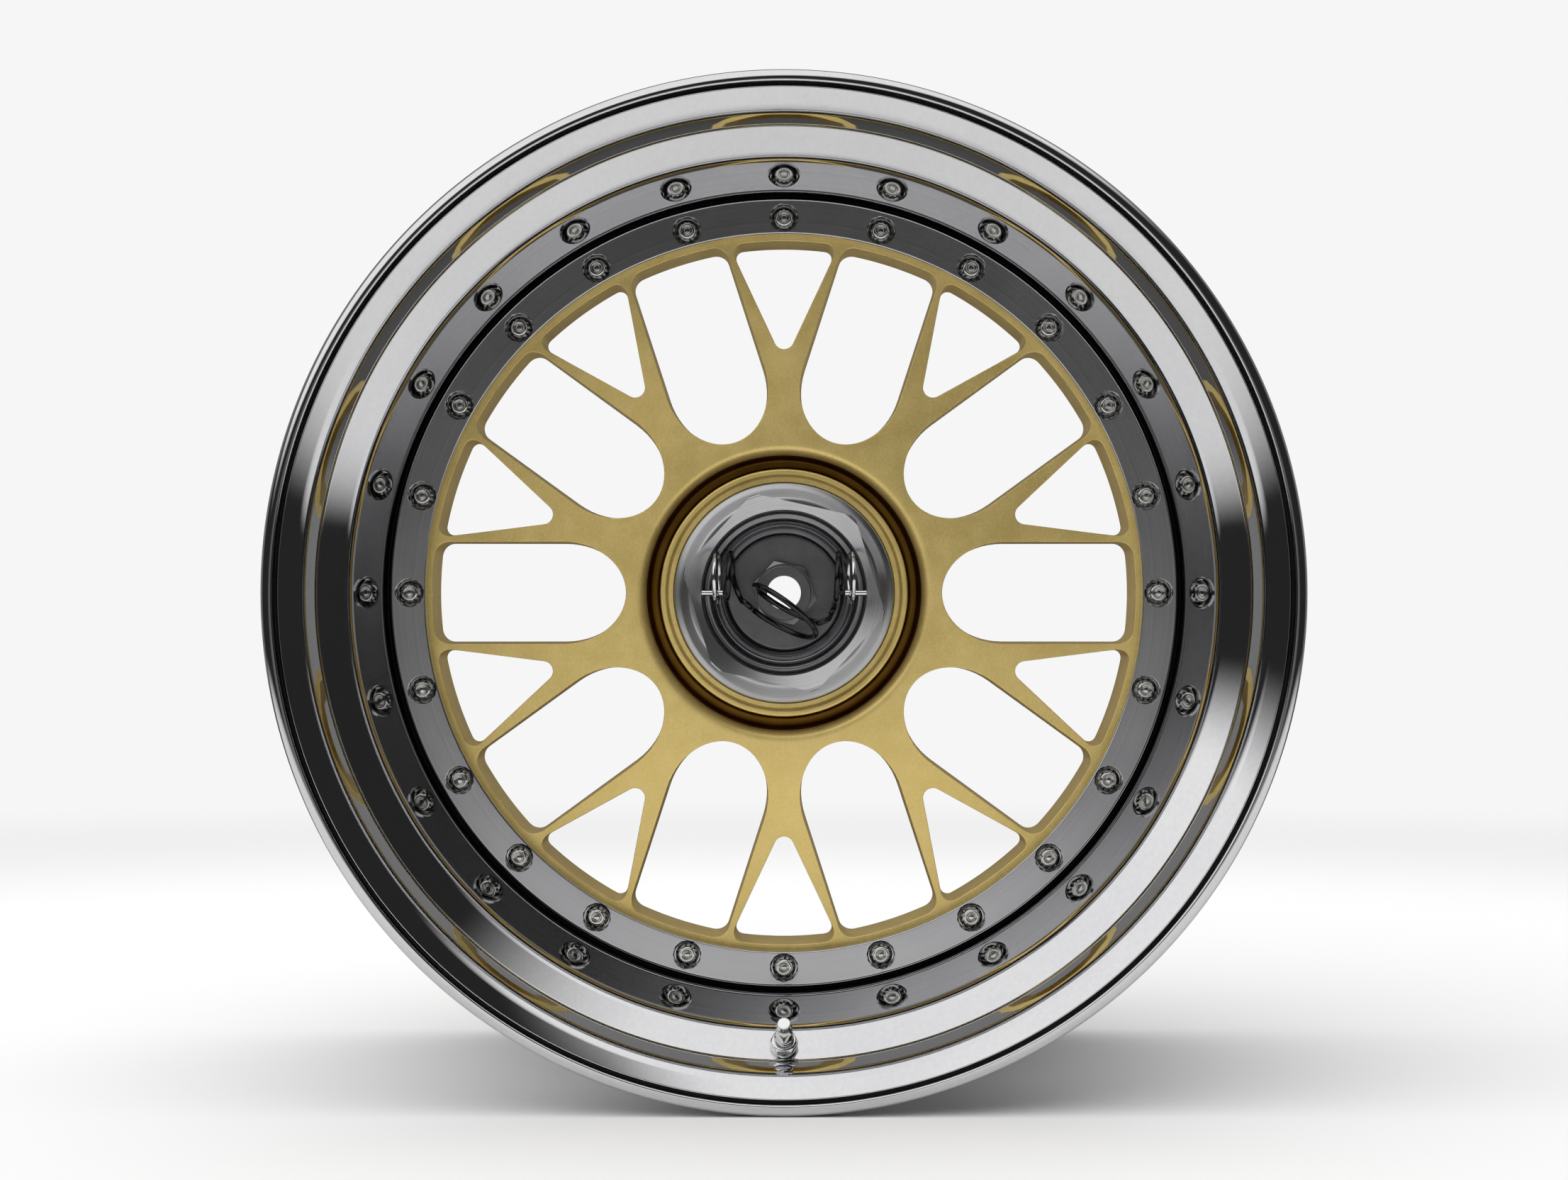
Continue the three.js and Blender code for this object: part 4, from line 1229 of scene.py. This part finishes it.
@dataclass
class WheelNut:
    """The centre-lock nut: a hexagon on a dished flange, bored for the spindle and the clip."""

    flat: float = 45.0
    turn_by: float = 12.6
    front: float = -78.0
    flange_front: float = -58.0
    flange_back: float = -52.0
    flange: float = 55.4
    bore: float = 41.0
    bore_floor: float = -60.0
    thread: float = 36.3
    spigot: float = 39.6
    spigot_back: float = -43.0
    pin_hole: float = 1.8
    pin_y: float = -72.0

    def on_flats(self, face: bmesh.types.BMFace) -> int:
        """Tells the hexagon's flats and their eased edges, the second finish of painted shade, from the
        turned faces.
        """
        centre = face.calc_center_median()
        outside = math.hypot(centre.x, centre.z) > self.flat - 1.2
        return int(outside and centre.y < self.flange_front - 2.6 and abs(face.normal.y) < 0.85)

    def build(self) -> None:
        """Makes the nut and the black guard ring in its bore."""
        corner = self.flat / math.cos(math.pi / 6)
        chamfer = turn(
            [
                Corner(self.thread, self.front + 4.7), Corner(self.bore, self.front + 3.0),
                Corner(corner - 2.2, self.front, 0.3, 2), Corner(corner - 1.1, self.front + 0.6, 0.3, 2),
                Corner(corner - 1.1, self.flange_front + 2), Corner(self.thread, self.flange_front + 2),
            ],
            180,
        )
        bar = hex_bar(self.flat, self.front - 1, self.flange_front + 1.5, self.turn_by)
        hexagon = carve(bar, chamfer, Cut.COMMON)
        bevel_front(hexagon, self.front, 0.8, 3.2)
        flange = turn(
            [
                Corner(self.thread, self.flange_front - 2.5),
                Corner(corner - 4.5, self.flange_front - 2.5, 1.0, 3),
                Corner(self.flange - 2.2, self.flange_front + 1.6, 1.6, 5),
                Corner(self.flange, self.flange_front + 2.2, 0.7, 4),
                Corner(self.flange, self.flange_back, 0.4, 2),
                Corner(self.spigot, self.flange_back),
                Corner(self.spigot, self.spigot_back, 0.4, 2),
                Corner(self.thread, self.spigot_back),
            ],
            180,
        )
        mesh = carve(hexagon, flange, Cut.JOIN)
        bore = turn(
            [
                Corner(0, self.front - 1), Corner(self.bore + 2.2, self.front - 1),
                Corner(self.bore, self.front + 3.6, 1.2, 5), Corner(self.bore, self.bore_floor),
                Corner(39.0, self.bore_floor, 0.2, 2), Corner(38.8, self.bore_floor + 0.7, 0.2, 2),
                Corner(37.6, self.bore_floor + 0.7, 0.2, 2), Corner(self.thread, self.bore_floor + 2),
                Corner(self.thread, self.spigot_back + 1), Corner(0, self.spigot_back + 1),
            ],
            180, False,
        )
        mesh = carve(mesh, bore)
        for side in Side:
            hole = rod(self.pin_hole, 0, 2)
            out = Matrix.Rotation(-side.value * math.pi / 2, 4, "Z")
            place = Matrix.Translation((side.value * (self.bore - 0.4), self.pin_y, 0)) @ out
            bmesh.ops.transform(hole, matrix=place, verts=hole.verts[:])
            mesh = carve(mesh, hole)
        # The second finish paints shade on the hexagon's flats and eased edges.
        finish_piece(
            "centre_lock_nut", mesh, [NUT_STEEL, HEX_EDGE_PAINTED_SHADE], Body.NUT, ["wheel_nut"], self.on_flats
        )
        guard = turn(
            [
                Corner(39.6, -63.3, 0.3, 2), Corner(40.7, -63.3, 0.3, 2),
                Corner(40.7, -60.3), Corner(39.6, -60.3),
            ],
            144,
        )
        finish_piece("bore_guard_ring", guard, [RUBBER], Body.NUT, ["guard_ring"])


@dataclass
class SafetyClip:
    """The spring clip that locks the nut: a coiled wire, two pins and two pull rings."""

    pin_y: float = -72.0
    pin: float = 1.5
    pin_inner: float = 30.4
    pin_outer: float = 42.5
    wire: float = 1.4
    ring_x: float = 33.5
    ring: float = 12.1
    ring_wire: float = 1.1
    ring_skew: float = 5.0
    lean: float = 34.0
    coil: float = 19.2
    pitch: float = 9.0
    coil_lean: float = 12.0
    coil_slope: float = 33.0
    coil_y: float = -84.0
    coil_x: float = -3.2
    coil_z: float = -14.4
    coil_start: float = 0.55
    coil_turns: float = 1.42
    coil_points: int = 18
    loop_points: int = 10
    loop_drift: float = 3.2
    leg_left: tuple[float, float, float] = (-21, 3, -4)
    leg_right: tuple[float, float, float] = (24, 1, -9.5)

    @property
    def _offset(self) -> float:
        """Distance from the pin to the pull ring's centre."""
        return self.ring - self.ring_wire - self.pin - GAP

    @property
    def _ring_centre(self) -> tuple[float, float]:
        """Place of the pull rings' centre along Y and Z."""
        lean = math.radians(self.lean)
        return self.pin_y - self._offset * math.sin(lean), self._offset * math.cos(lean)

    def _finger_loop(self, side: Side, end: float) -> list[Vector]:
        """Gives the run of wire inside a pull ring, from its pin.

        Args:
            side: Which end of the clip.
            end: Degrees at which the loop leaves the ring.

        Returns:
            Points along the wire.
        """
        begin, steps = 180 + self.lean, self.loop_points - 1
        y, z = self._ring_centre
        points = []
        for i in range(steps + 1):
            share = i / steps
            angle = math.radians(begin + (end - begin) * share)
            reach = self._offset + (self.ring - self._offset) * min(1.0, share * 4)
            across = self.pin_inner - self.wire - GAP - self.loop_drift * share
            points.append(
                Vector((side.value * across, y - reach * math.sin(angle), z + reach * math.cos(angle)))
            )
        return points

    def _coil_points(self) -> list[Vector]:
        """Gives the open turns of the spring, nearly edge-on and sloping down to the right."""
        slope, lean = math.radians(self.coil_slope), math.radians(self.coil_lean)
        across = Vector((math.cos(slope), 0, -math.sin(slope)))
        up = Vector((math.sin(slope), 0, math.cos(slope)))
        forward = Vector((0, -math.cos(lean), 0)) + up * math.sin(lean)
        start = Vector((self.coil_x, self.coil_y, self.coil_z))
        points = []
        for i in range(self.coil_points):
            turns = self.coil_start + self.coil_turns * i / (self.coil_points - 1)
            angle = 2 * math.pi * turns
            points.append(
                start + across * (self.coil * math.cos(angle)) + forward * (self.coil * math.sin(angle))
                + up * (self.pitch * (turns - 0.5))
            )
        return points

    def _wire_mesh(self, points: Sequence[Vector]) -> bmesh.types.BMesh:
        """Sweeps the wire along a smooth curve through points."""
        curve = bpy.data.curves.new("wire", "CURVE")
        curve.dimensions = "3D"
        curve.bevel_depth = self.wire
        curve.bevel_resolution = 5
        curve.use_fill_caps = True
        curve.resolution_u = 8
        spline = curve.splines.new("BEZIER")
        spline.bezier_points.add(len(points) - 1)
        for handle, point in zip(spline.bezier_points, points):
            handle.co = point
            handle.handle_left_type = handle.handle_right_type = "AUTO"
        carrier = bpy.data.objects.new("wire", curve)
        bpy.context.scene.collection.objects.link(carrier)
        depsgraph = bpy.context.evaluated_depsgraph_get()
        mesh = bmesh.new()
        mesh.from_mesh(carrier.evaluated_get(depsgraph).to_mesh())
        bpy.data.objects.remove(carrier)
        bpy.data.curves.remove(curve)
        bmesh.ops.remove_doubles(mesh, verts=mesh.verts[:], dist=1e-4)
        bmesh.ops.recalc_face_normals(mesh, faces=mesh.faces[:])
        return mesh

    def build(self) -> None:
        """Makes the wire, the pins and the pull rings."""
        pins = Vector((0, self.pin_y, 0))
        points = (
            self._finger_loop(Side.LEFT, -90)
            + [pins + Vector(self.leg_left)]
            + self._coil_points()
            + [pins + Vector(self.leg_right)]
            + self._finger_loop(Side.RIGHT, 540)[::-1]
        )
        mesh = self._wire_mesh(points)
        wire = finish_piece("clip_wire", mesh, [BLACK_WIRE], Body.NUT, ["clip_spring"])
        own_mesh(wire)
        y, z = self._ring_centre
        for side, pin_body, ring_body in (
            (Side.LEFT, Body.PIN_LEFT, Body.RING_LEFT),
            (Side.RIGHT, Body.PIN_RIGHT, Body.RING_RIGHT),
        ):
            label = side.name.lower()
            pin = turn(
                [
                    Corner(0, self.pin_inner), Corner(self.pin, self.pin_inner, 0.3, 3),
                    Corner(self.pin, self.pin_outer, 0.6, 3), Corner(0, self.pin_outer),
                ],
                32, False,
            )
            out = Matrix.Rotation(-side.value * math.pi / 2, 4, "Z")
            place = Matrix.Translation((0, self.pin_y, 0)) @ out
            bmesh.ops.transform(pin, matrix=place, verts=pin.verts[:])
            finish_piece(f"clip_pin_{label}", pin, [CHROME], pin_body, [f"lock_pin_{label}"])
            half = self.ring_wire
            around_wire = ((-half, -half), (half, -half), (half, half), (-half, half))
            ring = turn([Corner(self.ring + dx, dy, half * 0.99, 6) for dx, dy in around_wire], 72)
            skew = math.pi / 2 + side.value * math.radians(self.ring_skew)
            place = Matrix.Translation((side.value * self.ring_x, y, z)) @ Matrix.Rotation(skew, 4, "Z")
            bmesh.ops.transform(ring, matrix=place, verts=ring.verts[:])
            finish_piece(f"finger_ring_{label}", ring, [CHROME], ring_body, [f"pull_ring_{label}"])


# ---------- Tyre valve ----------


@dataclass
class TyreValve:
    """The bolt-in valve on the lip's step at the bottom, built along Y and then leaned."""

    base_radius: float = 219.5
    base_y: float = -117.7
    lean: float = math.atan2(-0.538662, -0.842522)
    hole: float = 4.15
    stem: float = 3.85
    neck: float = 2.6
    bore: float = 1.9

    def placed(self, mesh: bmesh.types.BMesh) -> bmesh.types.BMesh:
        """Stands a mesh square on the lip's step at the bottom of the wheel."""
        matrix = (
            Matrix.Rotation(math.pi, 4, "Y")
            @ Matrix.Translation((0, self.base_y, self.base_radius))
            @ Matrix.Rotation(self.lean, 4, "X")
        )
        bmesh.ops.transform(mesh, matrix=matrix, verts=mesh.verts[:])
        return mesh

    def hole_tool(self) -> bmesh.types.BMesh:
        """Makes the tool for the valve's hole through the lip."""
        return self.placed(rod(self.hole, -14.7, 2, 40))

    def build(self) -> None:
        """Makes the stem with its fittings, the core and the cap."""
        stem = turn(
            [
                Corner(self.bore, -9.8), Corner(5.8, -9.8, 0.4, 3), Corner(5.8, -7.9, 0.3, 3),
                Corner(self.stem, -7.8), Corner(self.stem, 7.4), Corner(4.9, 7.4),
                Corner(4.9, 9.4, 1.3, 5), Corner(3.6, 10.6, 0.3, 2), Corner(3.2, 11.6, 0.3, 2),
                Corner(self.neck, 11.6), Corner(self.neck, 22.5, 0.3, 2), Corner(self.bore, 22.5),
            ],
            48,
        )
        finish_piece("valve_body", self.placed(stem), [CHROME], Body.WHEEL, ["valve_stem"])
        grommet = turn(
            [
                Corner(self.hole, -7.6), Corner(6.4, -7.6, 0.6, 3),
                Corner(6.4, -5.2, 0.6, 3), Corner(self.hole, -5.2),
            ],
            40,
        )
        finish_piece("valve_rubber_seat", self.placed(grommet), [RUBBER], Body.WHEEL, ["valve_grommet"])
        washer = turn(
            [
                Corner(self.hole, GAP), Corner(6.65, GAP),
                Corner(6.65, 1.8, 0.5, 4), Corner(self.hole, 1.8),
            ],
            48,
        )
        finish_piece("valve_flat_washer", self.placed(washer), [CHROME], Body.WHEEL, ["valve_washer"])
        chamfer = turn(
            [
                Corner(4.1, 2.1), Corner(6.9, 2.1), Corner(6.9, 5.9),
                Corner(5.4, 7.1, 0.5, 3), Corner(4.1, 7.1, 0.3, 2),
            ],
            60,
        )
        nut = carve(hex_bar(5.85, 1, 8.1), chamfer, Cut.COMMON)
        finish_piece("valve_hex_nut", self.placed(nut), [CHROME], Body.WHEEL, ["valve_nut"])
        tip = 26.0
        cap = turn(
            [
                Corner(0, 12.5), Corner(4.5, 12.5, 0.3, 2), Corner(4.5, 19.6), Corner(3.3, 21.2, 0.4, 3),
                Corner(3.2, tip, 0.5, 4), Corner(0, tip),
            ],
            48, False,
        )
        cap = carve(cap, rod(2.9, 11, 24.1, 48))
        flats = carve(hex_bar(4.0, 11, 22, 30), rod(9, 11, 22), Cut.COMMON)
        cap = carve(cap, carve(flats, rod(9, 20.4, 30), Cut.JOIN), Cut.COMMON)
        finish_piece("valve_dust_cap", self.placed(cap), [CHROME], Body.CAP, ["valve_cap"])
        for node, look in (
            ("valve_core", HUB_STEEL), ("valve_core_pin", CHROME), ("valve_cap_seal", RUBBER),
        ):
            dress(node, look)


# ---------- Studio ----------


@dataclass(frozen=True)
class Softbox:
    """A soft-edged patch of the studio's surroundings.

    Attributes:
        toward: Direction of its middle from the wheel.
        inner: Degrees from its middle within which it has its full brightness.
        outer: Degrees beyond which it has none.
        light: Its radiance.
    """

    toward: tuple[float, float, float]
    inner: float
    outer: float
    light: float


@dataclass
class Studio:
    """The camera, the pale floor and the soft surroundings, in metres and degrees.

    Attributes:
        distance: From the camera to the front flange.
        camera_height: Height of the camera over the axle.
        lens: Focal length in millimetres.
        ground: Height of the floor.
        backdrop: sRGB hex of the plain backdrop that the camera sees.
        floor_colour: sRGB hex of the floor.
        fade: Distances between which the floor thins out to nothing.
        dim: Places along Y between which the floor darkens in mirrors.
        dim_most: How far it darkens there.
        base: Radiance of the surroundings in front.
        behind: Radiance of the surroundings behind.
        turn_over: Span along Y over which the one passes into the other.
        fill: How much brighter the surroundings are for diffuse light.
        patches: Soft boxes of the surroundings.
    """

    distance: float = 1.5
    camera_height: float = 0.0014
    lens: float = 72.75
    ground: float = -0.2485
    backdrop: str = "F6F6F6"
    floor_colour: str = "F8F8F8"
    fade: tuple[float, float] = (0.9, 2.2)
    dim: tuple[float, float] = (-0.1, 0.25)
    dim_most: float = 0.9
    base: float = 0.035
    behind: float = 0.3
    turn_over: tuple[float, float] = (-0.1, 0.4)
    fill: float = 1.97
    patches: tuple[Softbox, ...] = (
        Softbox((-0.45, -0.42, 0.78), 34, 46, 1.55),
        Softbox((0.0, -0.1, 1.0), 28, 50, 1.5),
        Softbox((0.0, -0.95, -0.3), 4, 26, 0.42),
    )

    def add_camera(self) -> None:
        """Stands the camera square in front of the wheel."""
        data = bpy.data.cameras.new("camera")
        data.lens = self.lens
        data.sensor_width = 36
        camera = bpy.data.objects.new("camera", data)
        camera.location = (0, FRONT_Y * MM - self.distance, self.camera_height)
        camera.rotation_euler = (math.pi / 2, 0, 0)
        bpy.context.scene.collection.objects.link(camera)
        bpy.context.scene.camera = camera
        bpy.context.scene.view_settings.view_transform = "Standard"

    def add_floor(self) -> None:
        """Lays the floor, which fades out far from the wheel and is dark in mirrors behind its front."""
        mesh = bmesh.new()
        bmesh.ops.create_grid(mesh, x_segments=1, y_segments=1, size=4)
        bmesh.ops.translate(mesh, vec=(0, 0, self.ground), verts=mesh.verts[:])
        data = bpy.data.meshes.new("floor")
        mesh.to_mesh(data)
        mesh.free()
        look = bpy.data.materials.new("pale_floor")
        look.use_nodes = True
        tree = look.node_tree
        tree.nodes.clear()
        place = add_node(tree, "ShaderNodeTexCoord").outputs["Object"]
        reach = add_node(
            tree, "ShaderNodeVectorMath", {"operation": "LENGTH"}, {0: place}
        ).outputs["Value"]
        fade = add_node(
            tree, "ShaderNodeMapRange",
            {
                "interpolation_type": "SMOOTHSTEP",
                "From Min": self.fade[0], "From Max": self.fade[1],
            },
            {"Value": reach},
        ).outputs["Result"]
        back = add_node(tree, "ShaderNodeSeparateXYZ", {}, {"Vector": place}).outputs["Y"]
        shade = add_node(
            tree, "ShaderNodeMapRange",
            {
                "interpolation_type": "SMOOTHSTEP",
                "From Min": self.dim[0], "From Max": self.dim[1], "To Max": self.dim_most,
            },
            {"Value": back},
        ).outputs["Result"]
        mirrored = add_node(tree, "ShaderNodeLightPath").outputs["Is Glossy Ray"]
        hidden = add_node(
            tree, "ShaderNodeMath", {"operation": "MULTIPLY"}, {0: shade, 1: mirrored}
        ).outputs[0]
        lit = add_node(tree, "ShaderNodeBsdfDiffuse", {"Color": linear(self.floor_colour)}).outputs[0]
        dark = add_node(tree, "ShaderNodeBsdfDiffuse", {"Color": (0.0, 0.0, 0.0, 1.0)}).outputs[0]
        pale = add_node(tree, "ShaderNodeMixShader", {}, {0: hidden, 1: lit, 2: dark}).outputs[0]
        clear = add_node(tree, "ShaderNodeBsdfTransparent").outputs[0]
        both = add_node(tree, "ShaderNodeMixShader", {}, {0: fade, 1: pale, 2: clear}).outputs[0]
        add_node(tree, "ShaderNodeOutputMaterial", {}, {"Surface": both})
        data.materials.append(look)
        floor = bpy.data.objects.new("floor", data)
        bpy.context.scene.collection.objects.link(floor)

    def add_surroundings(self) -> None:
        """Lights the scene with soft boxes, and gives the camera a plain backdrop."""
        world = bpy.data.worlds.new("studio")
        bpy.context.scene.world = world
        world.use_nodes = True
        tree = world.node_tree
        tree.nodes.clear()
        way = add_node(tree, "ShaderNodeTexCoord").outputs["Generated"]
        depth = add_node(tree, "ShaderNodeSeparateXYZ", {}, {"Vector": way}).outputs["Y"]
        level = add_node(
            tree, "ShaderNodeMapRange",
            {
                "interpolation_type": "SMOOTHSTEP",
                "From Min": self.turn_over[0], "From Max": self.turn_over[1],
                "To Min": self.base, "To Max": self.behind,
            },
            {"Value": depth},
        ).outputs["Result"]
        for patch in self.patches:
            near = add_node(
                tree, "ShaderNodeVectorMath",
                {"operation": "DOT_PRODUCT", 1: Vector(patch.toward).normalized()}, {0: way},
            ).outputs["Value"]
            mask = add_node(
                tree, "ShaderNodeMapRange",
                {
                    "interpolation_type": "SMOOTHSTEP",
                    "From Min": math.cos(math.radians(patch.outer)),
                    "From Max": math.cos(math.radians(patch.inner)),
                },
                {"Value": near},
            ).outputs["Result"]
            level = add_node(tree, "ShaderNodeMix", {3: patch.light}, {0: mask, 2: level}).outputs[0]
        path = add_node(tree, "ShaderNodeLightPath")
        seen = path.outputs["Is Camera Ray"]
        soft = add_node(
            tree, "ShaderNodeMapRange", {"To Min": 1.0, "To Max": self.fill},
            {"Value": path.outputs["Is Diffuse Ray"]},
        ).outputs["Result"]
        level = add_node(tree, "ShaderNodeMath", {"operation": "MULTIPLY"}, {0: level, 1: soft}).outputs[0]
        glow = add_node(tree, "ShaderNodeBackground", {}, {"Strength": level}).outputs[0]
        plain = add_node(tree, "ShaderNodeBackground", {"Color": linear(self.backdrop)}).outputs[0]
        both = add_node(tree, "ShaderNodeMixShader", {}, {0: seen, 1: glow, 2: plain}).outputs[0]
        add_node(tree, "ShaderNodeOutputWorld", {}, {"Surface": both})

    def build(self) -> None:
        """Sets up the camera, the floor and the light."""
        self.add_camera()
        self.add_floor()
        self.add_surroundings()
        log.info("studio ready")


def main() -> None:
    """Builds the studio and every piece."""
    logging.basicConfig(level=logging.INFO, format="%(name)s: %(message)s")
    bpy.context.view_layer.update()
    Studio().build()
    valve = TyreValve()
    OuterLip().build(valve.hole_tool())
    InnerBarrel().build()
    CentreDisc().build()
    RimBolts().build()
    Spindle().build()
    WheelNut().build()
    SafetyClip().build()
    valve.build()


if __name__ == "__main__":
    main()
